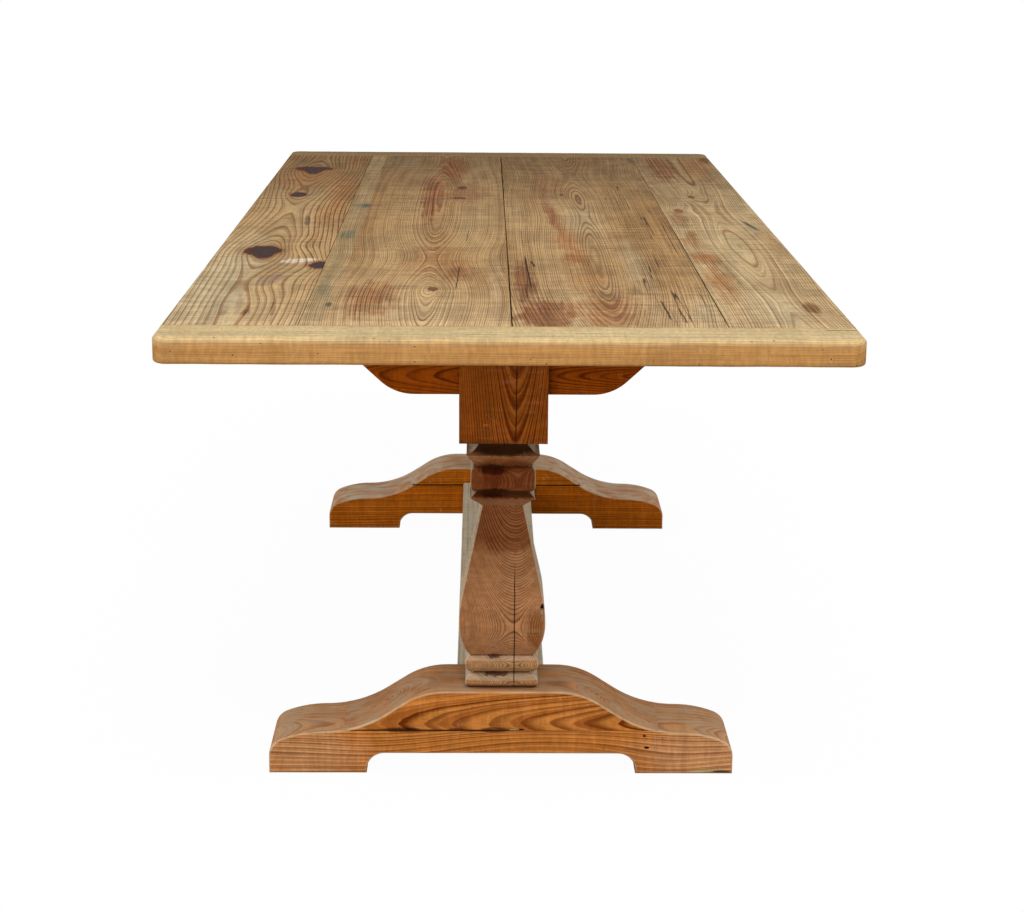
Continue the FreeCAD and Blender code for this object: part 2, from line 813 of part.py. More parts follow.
def trestle_fasteners(trestle):
    """The pegs and screws of one trestle, each kind as a group."""
    kinds = {"bridle_pegs_": bridle_pegs, "post_pegs_": post_pegs, "stretcher_pegs_": stretcher_pegs}
    for node, pegs in kinds.items():
        name = node.title().replace("_", "") + trestle.title()
        keep(node + trestle, group(name, pegs(name + "Peg", 0)), trestle)
    screws = [screw("Screw%s%d" % (trestle.title(), index), x)
              for index, x in enumerate(screw_offsets)]
    keep("bearer_screws_" + trestle, group("BearerScrews" + trestle.title(), screws), trestle)


# ---- stretcher -------------------------------------------------------------------------------

def stretcher():
    """A flat board between the feet, its long arrises eased, with a stub tenon on each end."""
    body = doc.addObject("PartDesign::Body", "StretcherBody")
    sketch = sketch_on(body, "StretcherSection", "XZ_Plane")
    outline = Outline(sketch, 0, 0)
    outline.line(s.stretcherWidth, 0)
    outline.line(s.stretcherWidth, s.stretcherThickness)
    outline.line(0, s.stretcherThickness)
    outline.close()
    board = pad(body, "StretcherBoard", sketch, stretcher_half * 2)
    rounded(body, "StretcherArris", board, s.stretcherArris,
            lambda middle, along: abs(along.y) > stretcher_half.number)
    place(body, trestle_x - s.stretcherWidth / 2, 0, s.stretcherTop - s.stretcherThickness)
    reach = (stretcher_half + s.stretcherTenonLength) * 2
    tenon = centred_box("StretcherTenon", (trestle_x, 0, stretcher_middle),
                        (s.stretcherTenonWidth, reach, s.stretcherTenonThickness))
    tools = []
    for end in (-1, 1):
        for side in (-1, 1):
            spot = (trestle_x + s.stretcherPegSpacing / 2 * side,
                    (stretcher_half + s.stretcherTenonLength / 2) * end,
                    stretcher_middle - s.stretcherTenonThickness / 2)
            tools.append(rod("StretcherPegHole", spot, "Z",
                             s.stretcherPegRadius + s.pegClearance, s.stretcherTenonThickness))
    keep("stretcher", cut("Stretcher", fuse("StretcherBlank", [body, tenon]), tools))


# ---- the table -------------------------------------------------------------------------------

for index in range(4):
    plank(index)
for node, edge in zip(("tongue_left", "tongue_middle", "tongue_right"), plank_edges[1:4]):
    loose_tongue(node, edge)
for trestle, end in (("near", -1), ("far", 1)):
    breadboard_end("breadboard_" + trestle, end)
    breadboard_pegs("breadboard_pegs_" + trestle, end)
foot("near", s.nearFootBeamHeight)
foot("far", s.farFootBeamHeight)
for trestle in ("near", "far"):
    post(trestle)
    bearer(trestle)
    trestle_fasteners(trestle)
stretcher()

doc.recompute()
for thing in doc.Objects:
    if "Invalid" in thing.State or "Error" in thing.State:
        raise RuntimeError("%s did not build: %s" % (thing.Name, thing.State))
os.makedirs("parts", exist_ok=True)
for node, piece in nodes.items():
    shape = piece.Shape
    if shape.isNull() or not shape.isValid():
        raise RuntimeError(node + " has no valid shape")
    shape.exportStep("parts/%s.step" % node)
    print(node, len(shape.Solids), "solids, volume %.0f" % shape.Volume)
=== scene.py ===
import math
import bmesh
import bpy
from mathutils import Matrix, Vector, noise


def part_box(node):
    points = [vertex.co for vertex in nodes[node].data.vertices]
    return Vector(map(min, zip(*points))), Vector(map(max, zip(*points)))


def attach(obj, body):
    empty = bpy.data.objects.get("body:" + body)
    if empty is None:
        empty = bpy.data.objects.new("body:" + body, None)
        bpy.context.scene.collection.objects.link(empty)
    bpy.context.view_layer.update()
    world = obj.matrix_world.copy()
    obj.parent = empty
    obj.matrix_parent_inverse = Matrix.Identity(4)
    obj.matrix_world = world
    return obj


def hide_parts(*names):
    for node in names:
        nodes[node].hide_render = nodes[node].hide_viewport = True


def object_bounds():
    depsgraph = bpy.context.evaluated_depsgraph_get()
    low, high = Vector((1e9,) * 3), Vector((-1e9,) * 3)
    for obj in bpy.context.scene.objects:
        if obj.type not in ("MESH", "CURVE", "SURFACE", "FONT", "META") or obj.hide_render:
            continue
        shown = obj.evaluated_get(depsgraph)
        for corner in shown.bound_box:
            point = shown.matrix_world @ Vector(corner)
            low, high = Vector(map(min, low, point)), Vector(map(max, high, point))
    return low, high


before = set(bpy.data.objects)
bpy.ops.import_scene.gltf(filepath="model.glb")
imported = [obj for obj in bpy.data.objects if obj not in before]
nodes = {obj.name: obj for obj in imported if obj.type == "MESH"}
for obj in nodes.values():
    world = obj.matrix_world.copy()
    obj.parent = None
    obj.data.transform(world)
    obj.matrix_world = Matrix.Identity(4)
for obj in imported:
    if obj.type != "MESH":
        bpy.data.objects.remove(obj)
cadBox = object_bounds()
mm = 0.001
print("frame loaded:", len(nodes), "nodes")


# shader helpers

def wire(tree, value, socket):
    if isinstance(value, bpy.types.NodeSocket):
        tree.links.new(value, socket)
    else:
        socket.default_value = value


def addNode(tree, kind, inputs=None, **settings):
    node = tree.nodes.new("ShaderNode" + kind)
    for name, value in settings.items():
        setattr(node, name, value)
    for key, value in (inputs or {}).items():
        wire(tree, value, node.inputs[key])
    return node


def maths(tree, operation, *values):
    return addNode(tree, "Math", dict(enumerate(values)), operation=operation).outputs[0]


def vectors(tree, operation, *values):
    node = addNode(tree, "VectorMath", dict(enumerate(values)), operation=operation)
    return node.outputs["Value" if operation == "LENGTH" else "Vector"]


def between(tree, value, low, high, toLow=0.0, toHigh=1.0):  # smooth step, either way round
    limits = {"Value": value, "From Min": low, "From Max": high, "To Min": toLow, "To Max": toHigh}
    return addNode(tree, "MapRange", limits, interpolation_type="SMOOTHSTEP").outputs[0]


def mixed(tree, factor, first, second, mode="MIX"):
    inputs = {0: factor, 6: first, 7: second}
    return addNode(tree, "Mix", inputs, data_type="RGBA", blend_type=mode).outputs[2]


def cloud(tree, point, scale, detail=2.0, rough=0.5):  # noise with its own scale on each axis
    stretched = vectors(tree, "MULTIPLY", point, scale)
    inputs = {"Vector": stretched, "Scale": 1.0, "Detail": detail, "Roughness": rough}
    return addNode(tree, "TexNoise", inputs, noise_dimensions="3D").outputs[0]


def newGroup(name, inputs, outputs):
    tree = bpy.data.node_groups.new(name, "ShaderNodeTree")
    for label, kind, value in inputs:
        socket = tree.interface.new_socket(label, in_out="INPUT", socket_type="NodeSocket" + kind)
        socket.default_value = value
    for label in outputs:
        tree.interface.new_socket(label, in_out="OUTPUT", socket_type="NodeSocketFloat")
    return tree, tree.nodes.new("NodeGroupInput").outputs, tree.nodes.new("NodeGroupOutput").inputs


def useGroup(tree, group, inputs):
    node = tree.nodes.new("ShaderNodeGroup")
    node.node_tree = group
    for key, value in inputs.items():
        wire(tree, value, node.inputs[key])
    return node.outputs


def tint(red, green, blue):  # a screen colour, 0 to 255, as the shader wants it
    channels = [channel / 255 for channel in (red, green, blue)]
    return [c / 12.92 if c <= 0.04045 else ((c + 0.055) / 1.055) ** 2.4 for c in channels] + [1.0]


# shared effects

noiseScales = {  # cycles in a metre across, along and through the grain
    "slow": (5, 1.1, 5), "ripple": (34, 6, 34), "cloudy": (26, 7, 26), "streaked": (2.5, 48, 2.5),
    "tone": (9, 0.9, 9), "fibre": (620, 13, 620), "torn": (110, 9, 110), "chewed": (34, 22, 34),
    "mottle": (70, 170, 70), "teeth": (9, 105, 9), "sawn": (9, 5, 9), "scratch": (130, 2.5, 50),
    "rare": (31, 31, 31), "drying": (95, 0.8, 95), "broken": (60, 3, 60),
}
ringScales = {"line": (2.3, 3.0, 1), "step": (0.8, 15, 1)}  # cycles in a ring and in a metre along it
ringShape = {"lineEnd": 0.88, "darkest": 0.86, "fading": 0.93, "rippleShare": 0.9, "pacePerRing": 0.16,
             "boldPerRing": 0.48, "boldStart": 0.56}


def ringsGroup():  # year rings round the pith, which is the local Y axis
    tree, given, out = newGroup("pineRings", [
        ("Grain", "Vector", (0, 0, 0)), ("Ring Width", "Float", 0.008), ("Wander", "Float", 0.02),
        ("Swell", "Float", 0.0), ("Line Share", "Float", 0.45), ("Faintest", "Float", 0.35),
        ("Pace", "Float", 2.0), ("Seed", "Float", 0.0)],
        ["Late", "Bold", "Shade", "Tone", "Blotch", "Fibre", "Line", "Torn", "Mottle"])
    point = vectors(tree, "ADD", given["Grain"], given["Seed"])
    slow = maths(tree, "SUBTRACT", cloud(tree, point, noiseScales["slow"], 1.0), 0.5)
    ripple = maths(tree, "SUBTRACT", cloud(tree, point, noiseScales["ripple"], 2.0), 0.5)
    flat = vectors(tree, "MULTIPLY", given["Grain"], (1, 0, 1))
    radius = maths(tree, "ADD", vectors(tree, "LENGTH", flat), given["Swell"])
    radius = maths(tree, "MULTIPLY_ADD", slow, given["Wander"], radius)
    rippleReach = maths(tree, "MULTIPLY", given["Ring Width"], ringShape["rippleShare"])
    radius = maths(tree, "MULTIPLY_ADD", ripple, rippleReach, radius)
    years = maths(tree, "DIVIDE", radius, given["Ring Width"])
    paceAt = maths(tree, "MULTIPLY_ADD", years, ringShape["pacePerRing"], given["Seed"])
    pace = addNode(tree, "TexNoise", {"W": paceAt, "Scale": 1.0, "Detail": 1.0},
                   noise_dimensions="1D").outputs[0]
    years = maths(tree, "MULTIPLY_ADD", pace, given["Pace"], years)
    ringNumber = maths(tree, "ADD", maths(tree, "FLOOR", years), given["Seed"])
    chance = addNode(tree, "TexWhiteNoise", {"W": ringNumber}, noise_dimensions="1D").outputs[0]

    def lateWood(count, start):  # it darkens slowly through the year and stops short
        part = maths(tree, "FRACT", count)
        return maths(tree, "MULTIPLY", between(tree, part, start, ringShape["darkest"]),
                     between(tree, part, 1.0, ringShape["fading"]))

    late = lateWood(years, maths(tree, "SUBTRACT", ringShape["lineEnd"], given["Line Share"]))
    spread = maths(tree, "SUBTRACT", 1.0, given["Faintest"])
    strength = maths(tree, "MULTIPLY_ADD", chance, spread, given["Faintest"])
    wire(tree, maths(tree, "MULTIPLY", late, strength), out["Late"])
    boldYears = maths(tree, "MULTIPLY", years, ringShape["boldPerRing"])
    wire(tree, lateWood(boldYears, ringShape["boldStart"]), out["Bold"])
    wire(tree, chance, out["Shade"])
    blotches = maths(tree, "ADD", cloud(tree, point, noiseScales["cloudy"], 3.0),
                     cloud(tree, point, noiseScales["streaked"], 3.0, 0.65))
    wire(tree, between(tree, blotches, 0.5, 1.5), out["Blotch"])
    wire(tree, cloud(tree, point, noiseScales["tone"], 3.0), out["Tone"])
    wire(tree, cloud(tree, point, noiseScales["fibre"], 2.0, 0.6), out["Fibre"])
    along = addNode(tree, "SeparateXYZ", {0: point}).outputs[1]
    onRings = addNode(tree, "CombineXYZ", {0: years, 1: along}).outputs[0]
    wire(tree, cloud(tree, onRings, ringScales["line"], 2.0, 0.65), out["Line"])
    torn = maths(tree, "ADD", cloud(tree, point, noiseScales["torn"], 3.0, 0.6),
                 cloud(tree, onRings, ringScales["step"], 2.0))
    torn = maths(tree, "ADD", torn, cloud(tree, point, noiseScales["chewed"], 1.0))
    wire(tree, maths(tree, "SUBTRACT", torn, 1.5), out["Torn"])
    wire(tree, cloud(tree, point, noiseScales["mottle"], 2.0), out["Mottle"])
    return tree


def spotGroup():  # how far a point is from a feature, 1 on its edge, torn along the grain
    tree, given, out = newGroup("woodSpot", [
        ("Point", "Vector", (0, 0, 0)), ("Centre", "Vector", (0, 0, 0)), ("Turn", "Vector", (0, 0, 0)),
        ("Reach", "Vector", (1, 1, 1)), ("Ragged", "Float", 0.3), ("Torn", "Float", 0.0)], ["Distance"])
    local = addNode(tree, "Mapping", {"Vector": given["Point"], "Location": given["Centre"],
                                      "Rotation": given["Turn"], "Scale": given["Reach"]},
                    vector_type="TEXTURE").outputs[0]
    wire(tree, maths(tree, "MULTIPLY_ADD", given["Torn"], given["Ragged"], vectors(tree, "LENGTH", local)),
         out["Distance"])
    return tree


def crackGroup():  # a thin dark line that wavers, tapering at both ends
    tree, given, out = newGroup("woodCrack", [
        ("Point", "Vector", (0, 0, 0)), ("Centre", "Vector", (0, 0, 0)), ("Turn", "Vector", (0, 0, 0)),
        ("Half Length", "Float", 0.1), ("Half Width", "Float", 0.001), ("Waver", "Float", 0.002),
        ("Depth", "Float", 0.03)], ["Mask"])
    local = addNode(tree, "Mapping", {"Vector": given["Point"], "Location": given["Centre"],
                                      "Rotation": given["Turn"]}, vector_type="TEXTURE").outputs[0]
    split = addNode(tree, "SeparateXYZ", {0: local}).outputs
    sway = addNode(tree, "TexNoise", {"W": split[1], "Scale": 22.0, "Detail": 3.0},
                   noise_dimensions="1D").outputs[0]
    off = maths(tree, "MULTIPLY_ADD", maths(tree, "SUBTRACT", sway, 0.5), given["Waver"], split[0])
    along = maths(tree, "DIVIDE", maths(tree, "ABSOLUTE", split[1]), given["Half Length"])
    across = maths(tree, "DIVIDE", maths(tree, "ABSOLUTE", off), given["Half Width"])
    taper = between(tree, along, 1.0, 0.6)
    deep = maths(tree, "LESS_THAN", maths(tree, "ABSOLUTE", split[2]), given["Depth"])
    line = between(tree, maths(tree, "DIVIDE", across, maths(tree, "MAXIMUM", taper, 0.02)), 1.0, 0.35)
    wire(tree, maths(tree, "MULTIPLY", maths(tree, "MULTIPLY", line, deep), between(tree, taper, 0.0, 0.2)),
         out["Mask"])
    return tree


def marksGroup():  # what saws, scrapers, knocks, worms and drying left behind
    tree, given, out = newGroup("handMarks", [
        ("Point", "Vector", (0, 0, 0)), ("Grain", "Vector", (0, 0, 0)), ("Hole Spacing", "Float", 0.016),
        ("Hole Radius", "Float", 0.0008)], ["Saw", "Scrape", "Scratch", "Hole", "Dent", "Check"])
    teeth = cloud(tree, given["Grain"], noiseScales["teeth"], 3.0, 0.7)
    area = between(tree, cloud(tree, given["Grain"], noiseScales["sawn"], 2.0), 0.4, 0.58)
    wire(tree, maths(tree, "MULTIPLY", between(tree, teeth, 0.52, 0.68), area), out["Saw"])
    wire(tree, maths(tree, "MULTIPLY", between(tree, teeth, 0.46, 0.3), area), out["Scrape"])
    slanted = addNode(tree, "VectorRotate", {"Vector": given["Point"], "Angle": 0.9, "Axis": (0.3, 0.5, 0.8)},
                      rotation_type="AXIS_ANGLE").outputs[0]
    level = maths(tree, "SUBTRACT", cloud(tree, slanted, noiseScales["scratch"], 0.0), 0.5)
    level = maths(tree, "ABSOLUTE", level)
    rare = between(tree, cloud(tree, given["Point"], noiseScales["rare"], 1.0), 0.6, 0.7)
    wire(tree, maths(tree, "MULTIPLY", between(tree, level, 0.014, 0.0), rare), out["Scratch"])
    cells = vectors(tree, "DIVIDE", given["Point"], given["Hole Spacing"])
    near = addNode(tree, "TexVoronoi", {"Vector": cells, "Scale": 1.0}, feature="F1").outputs["Distance"]
    size = maths(tree, "DIVIDE", given["Hole Radius"], given["Hole Spacing"])
    wire(tree, between(tree, maths(tree, "DIVIDE", near, size), 1.0, 0.7), out["Hole"])
    knocks = addNode(tree, "TexVoronoi", {"Vector": given["Point"], "Scale": 24.0},
                     feature="SMOOTH_F1").outputs[0]
    wire(tree, between(tree, knocks, 0.16, 0.02), out["Dent"])
    drying = maths(tree, "SUBTRACT", cloud(tree, given["Grain"], noiseScales["drying"], 1.0), 0.5)
    drying = maths(tree, "ABSOLUTE", drying)
    broken = between(tree, cloud(tree, given["Grain"], noiseScales["broken"], 2.0), 0.42, 0.52)
    wire(tree, maths(tree, "MULTIPLY", between(tree, drying, 0.016, 0.004), broken), out["Check"])
    return tree


groups = {"rings": ringsGroup(), "spot": spotGroup(), "crack": crackGroup(), "marks": marksGroup()}
print("shared effects built:", ", ".join(groups))


# pine finish, with places in mm across from the trestles' middle, along the table and up

low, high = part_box("post_near")
trestleMiddle = (low.x + high.x) / 2 / mm


def placed(spot):
    return tuple(value * mm for value in (spot[0] + trestleMiddle, spot[1], spot[2]))


def metres(values):
    return tuple(value * mm for value in values)


def radians(values):
    return tuple(math.radians(value) for value in values)


def distance(wood, feature, torn, ragged):  # 0 at a feature's centre and 1 on its edge
    return useGroup(wood["tree"], groups["spot"], {
        "Point": wood["point"], "Centre": placed(feature["at"]), "Reach": metres(feature["reach"]),
        "Turn": radians(feature.get("turn", (0, 0, 0))), "Ragged": feature.get("ragged", ragged),
        "Torn": torn})["Distance"]


def softSpot(wood, feature):
    away = distance(wood, feature, wood["rings"]["Torn"], 0.6)
    return between(wood["tree"], away, 1.2, 0.5, 0.0, feature["strength"])


def startWood(name, look):
    material = bpy.data.materials.new(name)
    material.use_nodes = True
    tree = material.node_tree
    tree.nodes.clear()
    point = addNode(tree, "TexCoord").outputs["Object"]
    pith, turn = look["pith"]
    grain = addNode(tree, "Mapping", {"Vector": point, "Location": placed(pith), "Rotation": radians(turn)},
                    vector_type="TEXTURE").outputs[0]
    wood = {"material": material, "tree": tree, "point": point}
    swell = 0.0
    for feature in look["swells"]:  # rings bulge round knots and where the trunk was crooked
        away = distance(wood, feature, 0.0, 0.0)
        hump = maths(tree, "EXPONENT", maths(tree, "MULTIPLY", maths(tree, "MULTIPLY", away, away), -1.0))
        swell = maths(tree, "MULTIPLY_ADD", hump, feature["rise"] * mm, swell)
    wood["rings"] = useGroup(tree, groups["rings"], {
        "Grain": grain, "Ring Width": look["ringWidth"] * mm, "Wander": look["wander"] * mm, "Swell": swell,
        "Line Share": look["lineShare"], "Faintest": look["faintest"], "Pace": look["pace"],
        "Seed": look["seed"]})
    wood["marks"] = useGroup(tree, groups["marks"], {
        "Point": point, "Grain": grain, "Hole Spacing": look["holes"] * mm,
        "Hole Radius": look["holeRadius"] * mm})
    face = addNode(tree, "NewGeometry").outputs
    wood["facing"] = addNode(tree, "SeparateXYZ", {0: face["Normal"]}).outputs
    wood["slope"] = addNode(tree, "SeparateXYZ", {0: face["True Normal"]}).outputs
    return wood


def paintGround(wood, look):  # early wood with its stains, the painted shade and light among its patches, and a painted sheen on sideways faces
    tree, rings = wood["tree"], wood["rings"]
    ground = mixed(tree, between(tree, rings["Tone"], 0.3, 0.7), look["early"], look["second"])
    streaky = between(tree, rings["Line"], 0.3, 0.65, look["evenPatches"], 1.0)
    for feature in look["patches"]:
        away = distance(wood, feature, rings["Torn"], 0.5)
        mask = between(tree, away, 1.1, feature.get("inner", 0.6), 0.0, feature.get("strength", 0.6))
        ground = mixed(tree, maths(tree, "MULTIPLY", mask, streaky), ground, feature["colour"])
    if "flank" in look:  # faces turned sideways are painted pale grey, a painted sheen of grazing light
        sideSheenColour, sideSheenShare = look["flank"]
        side = between(tree, maths(tree, "ABSOLUTE", wood["facing"][0]), 0.3, 0.6, 0.0, sideSheenShare)
        ground = mixed(tree, side, ground, sideSheenColour)
    return ground


def paintRings(wood, look, ground):
    tree, rings = wood["tree"], wood["rings"]
    late = maths(tree, "MULTIPLY", rings["Late"], look["contrast"])
    streak = between(tree, rings["Line"], 0.5, 0.72, 0.0, look["streaks"])
    colour = mixed(tree, maths(tree, "MAXIMUM", late, streak), ground,
                   mixed(tree, 1.0, ground, look["late"], "MULTIPLY"))
    if "bold" in look:  # where every second ring or so is broad and red
        boldness = look["bold"][0]
        for feature in look["bold"][1:]:
            boldness = maths(tree, "MAXIMUM", boldness, softSpot(wood, feature))
        colour = mixed(tree, maths(tree, "MULTIPLY", rings["Bold"], boldness), colour,
                       mixed(tree, 1.0, ground, look["boldLate"], "MULTIPLY"))
    return colour


def shadeWood(wood, look, colour):  # fibres, mottling, whole rings and blotches are lighter or darker
    tree, rings = wood["tree"], wood["rings"]
    light = maths(tree, "MULTIPLY", between(tree, rings["Fibre"], 0.3, 0.75, 1.08, 0.86),
                  between(tree, rings["Mottle"], 0.3, 0.7, 1.07, 0.9))
    light = maths(tree, "MULTIPLY", light, between(tree, rings["Shade"], 0.0, 1.0, 1.05, 0.93))
    light = maths(tree, "MULTIPLY", light, between(tree, rings["Blotch"], 0.3, 0.7, 1.06, look["blotch"]))
    shade = addNode(tree, "CombineColor", {0: light, 1: light, 2: light}).outputs[0]
    return mixed(tree, 1.0, colour, shade, "MULTIPLY")


bumpHeights = {"late": 0.12, "fibre": 0.12, "saw": -0.1, "dent": -0.25, "knot": -0.4, "check": -0.5,
               "crack": -0.8, "hole": -0.8}  # mm


def addToolMarks(wood, look, colour, height):
    tree, marks = wood["tree"], wood["marks"]
    colour = mixed(tree, maths(tree, "MULTIPLY", marks["Saw"], look["saw"]), colour, look["sawColour"])
    scraped = maths(tree, "MULTIPLY", marks["Scrape"], look["scrape"])
    colour = mixed(tree, scraped, colour, look["scratchColour"])
    height = maths(tree, "MULTIPLY_ADD", marks["Saw"], bumpHeights["saw"], height)
    scratched = maths(tree, "MULTIPLY", marks["Scratch"], look["scratches"])
    colour = mixed(tree, scratched, colour, look["scratchColour"])
    height = maths(tree, "MULTIPLY_ADD", marks["Dent"], bumpHeights["dent"], height)
    return colour, height


def addKnots(wood, look, colour, height):
    tree, torn = wood["tree"], wood["rings"]["Torn"]
    knots = [(feature, distance(wood, feature, torn, 0.45)) for feature in look["knots"]]
    for feature, away in knots:
        halo = between(tree, away, 1.8, 1.0, 0.0, feature.get("halo", 0.6))
        colour = mixed(tree, halo, colour, feature.get("haloColour", look["knotHalo"]))
    for feature, away in knots:
        colour = mixed(tree, between(tree, away, 1.18, 1.0), colour, feature.get("rim", look["knotRim"]))
    for feature, away in knots:
        core = between(tree, away, 1.02, 0.76)
        colour = mixed(tree, core, colour, feature.get("colour", look["knotCore"]))
        height = maths(tree, "MULTIPLY_ADD", core, bumpHeights["knot"], height)
    return colour, height


# grime with painted shade, dust with painted sheen, and worn arrises with a painted highlight
def addAgeAndPaintedLight(wood, look, colour):
    tree, torn, slope = wood["tree"], wood["rings"]["Torn"], wood["slope"]
    # grime and painted shade: colour darkened where ambient occlusion finds corners and recesses
    occlusion = addNode(tree, "AmbientOcclusion", {"Distance": look["grimeAndShadeReach"] * mm}, samples=6).outputs["AO"]
    colour = mixed(tree, between(tree, occlusion, 0.75, 0.2, 0.0, look["grimeAndShade"]), colour, look["grimeAndShadeColour"])
    if "dustAndSheen" in look:  # dust and painted sheen: upward faces are painted paler and greyer, and the grain still shows through
        dustAndSheenColour, dustAndSheenShare = look["dustAndSheen"]
        upFacing = maths(tree, "MULTIPLY", between(tree, wood["facing"][2], 0.1, 0.85, 0.0, dustAndSheenShare),
                      between(tree, torn, -0.35, 0.35, 1.0, 0.35))
        colour = mixed(tree, upFacing, colour, dustAndSheenColour)
    if "arrisWearAndHighlight" in look:  # arrises between the front and the sides or the top are painted pale, partly rubbed wear and partly a painted highlight
        paleArrisColour, paleArrisShare, topShare = look["arrisWearAndHighlight"]
        across = maths(tree, "MULTIPLY", maths(tree, "ABSOLUTE", slope[2]), topShare)
        corner = maths(tree, "MULTIPLY", maths(tree, "ABSOLUTE", slope[1]),
                       maths(tree, "ADD", maths(tree, "ABSOLUTE", slope[0]), across))
        paleArris = maths(tree, "MULTIPLY", between(tree, corner, 0.12, 0.4, 0.0, paleArrisShare),
                       between(tree, torn, 0.35, -0.35, 0.5, 1.0))
        colour = mixed(tree, paleArris, colour, paleArrisColour)
    return colour


def addCracks(wood, look, colour, height):
    tree, marks = wood["tree"], wood["marks"]
    for feature in look["checked"]:  # where drying has opened fine checks along the grain
        mask = maths(tree, "MULTIPLY", softSpot(wood, feature), marks["Check"])
        colour = mixed(tree, mask, colour, look["crackColour"])
        height = maths(tree, "MULTIPLY_ADD", mask, bumpHeights["check"], height)
    for feature in look["cracks"]:
        mask = useGroup(tree, groups["crack"], {
            "Point": wood["point"], "Centre": placed(feature["at"]),
            "Turn": radians(feature.get("turn", (0, 0, 0))),
            "Half Length": feature["half"] * mm, "Half Width": feature.get("width", 0.8) * mm,
            "Waver": feature.get("waver", 3) * mm, "Depth": feature.get("depth", 30) * mm})["Mask"]
        colour = mixed(tree, maths(tree, "MULTIPLY", mask, feature.get("strength", 0.9)), colour,
                       feature.get("colour", look["crackColour"]))
        height = maths(tree, "MULTIPLY_ADD", mask, bumpHeights["crack"], height)
    colour = mixed(tree, marks["Hole"], colour, look["crackColour"])
    height = maths(tree, "MULTIPLY_ADD", marks["Hole"], bumpHeights["hole"], height)
    return colour, height


def pine(name, look):
    wood = startWood(name, look)
    tree, rings = wood["tree"], wood["rings"]
    ground = paintGround(wood, look)
    colour = shadeWood(wood, look, paintRings(wood, look, ground))
    height = maths(tree, "MULTIPLY", rings["Late"], bumpHeights["late"])
    height = maths(tree, "MULTIPLY_ADD", rings["Fibre"], bumpHeights["fibre"], height)
    colour, height = addToolMarks(wood, look, colour, height)
    colour, height = addKnots(wood, look, colour, height)
    colour = addAgeAndPaintedLight(wood, look, colour)
    colour, height = addCracks(wood, look, colour, height)
    bump = addNode(tree, "Bump", {"Height": height, "Distance": mm, "Strength": 1.0}).outputs[0]
    polish = between(tree, rings["Late"], 0.0, 1.0, look["roughness"], look["roughness"] - look["latePolish"])
    polish = maths(tree, "MULTIPLY_ADD", maths(tree, "SUBTRACT", rings["Tone"], 0.5), look["uneven"], polish)
    shader = addNode(tree, "BsdfPrincipled", {"Base Color": colour, "Roughness": polish, "Normal": bump,
                                              "Specular IOR Level": look["gloss"]})
    wire(tree, shader.outputs[0], addNode(tree, "OutputMaterial").inputs["Surface"])
    return wood["material"]


# colours that several pieces share

shades = {
    "straw": tint(196, 162, 112),
    "bleached": tint(208, 192, 154),
    "tan": tint(178, 138, 88),
    "heart": tint(140, 82, 44),
    "orange": tint(172, 110, 54),
    "greenish": tint(184, 164, 122),
    "blueStain": tint(66, 84, 82),
    "amber": tint(172, 118, 64),
    "resinRed": tint(64, 22, 12),
    "lateLight": [0.36, 0.23, 0.12, 1.0],
    "lateDark": [0.26, 0.13, 0.06, 1.0],
    "hole": tint(26, 18, 14),
    "glueStain": tint(70, 34, 20),
    # painted shade for the grooves of the posts' mouldings
    "groove": tint(88, 56, 34),
}

common = {
    "late": shades["lateLight"], "lineShare": 0.4, "faintest": 0.35, "pace": 2.0, "streaks": 0.35,
    "evenPatches": 0.9, "blotch": 0.9, "saw": 0.3, "scrape": 0.2, "scratches": 0.25,
    "holes": 16, "holeRadius": 0.8, "grimeAndShade": 0.6, "grimeAndShadeReach": 18,
    "roughness": 0.6, "latePolish": 0.08, "uneven": 0.15, "gloss": 0.01,
    "swells": [], "patches": [], "knots": [], "checked": [], "cracks": [],
    "sawColour": tint(104, 70, 38), "scratchColour": tint(222, 202, 160), "grimeAndShadeColour": tint(74, 44, 22),
    "knotCore": tint(66, 49, 45), "knotRim": tint(88, 46, 28), "knotHalo": tint(132, 78, 42),
    "crackColour": tint(38, 26, 18),
}


def onTop(x, y, halfX, halfY, turn=0, **more):  # a feature of the table top, in plan
    return {"at": (x, y, 742), "reach": (halfX, halfY, 400), "turn": (0, 0, turn), **more}


def topPatch(x, y, halfX, halfY, colour, strength, ragged=0.5, inner=0.6, turn=0):  # in the table top; a patch of colour, used for real stains and for the painted shade and light at the top's ends
    return onTop(x, y, halfX, halfY, turn, colour=colour, strength=strength, ragged=ragged, inner=inner)


def topCrack(x, y, half, turn=0, **more):
    return {"at": (x, y, 760), "turn": (0, 0, turn), "half": half, **more}


def onFace(x, z, halfX, halfZ, turn=0, y=-709, depth=60, **more):  # a feature of an upright face
    return {"at": (x, y, z), "reach": (halfX, depth, halfZ), "turn": (0, turn, 0), **more}


def levelCrack(x, y, z, half, **more):  # a crack that runs across an upright face
    return {"at": (x, y, z), "turn": (0, 90, 90), "half": half, "depth": 8, **more}


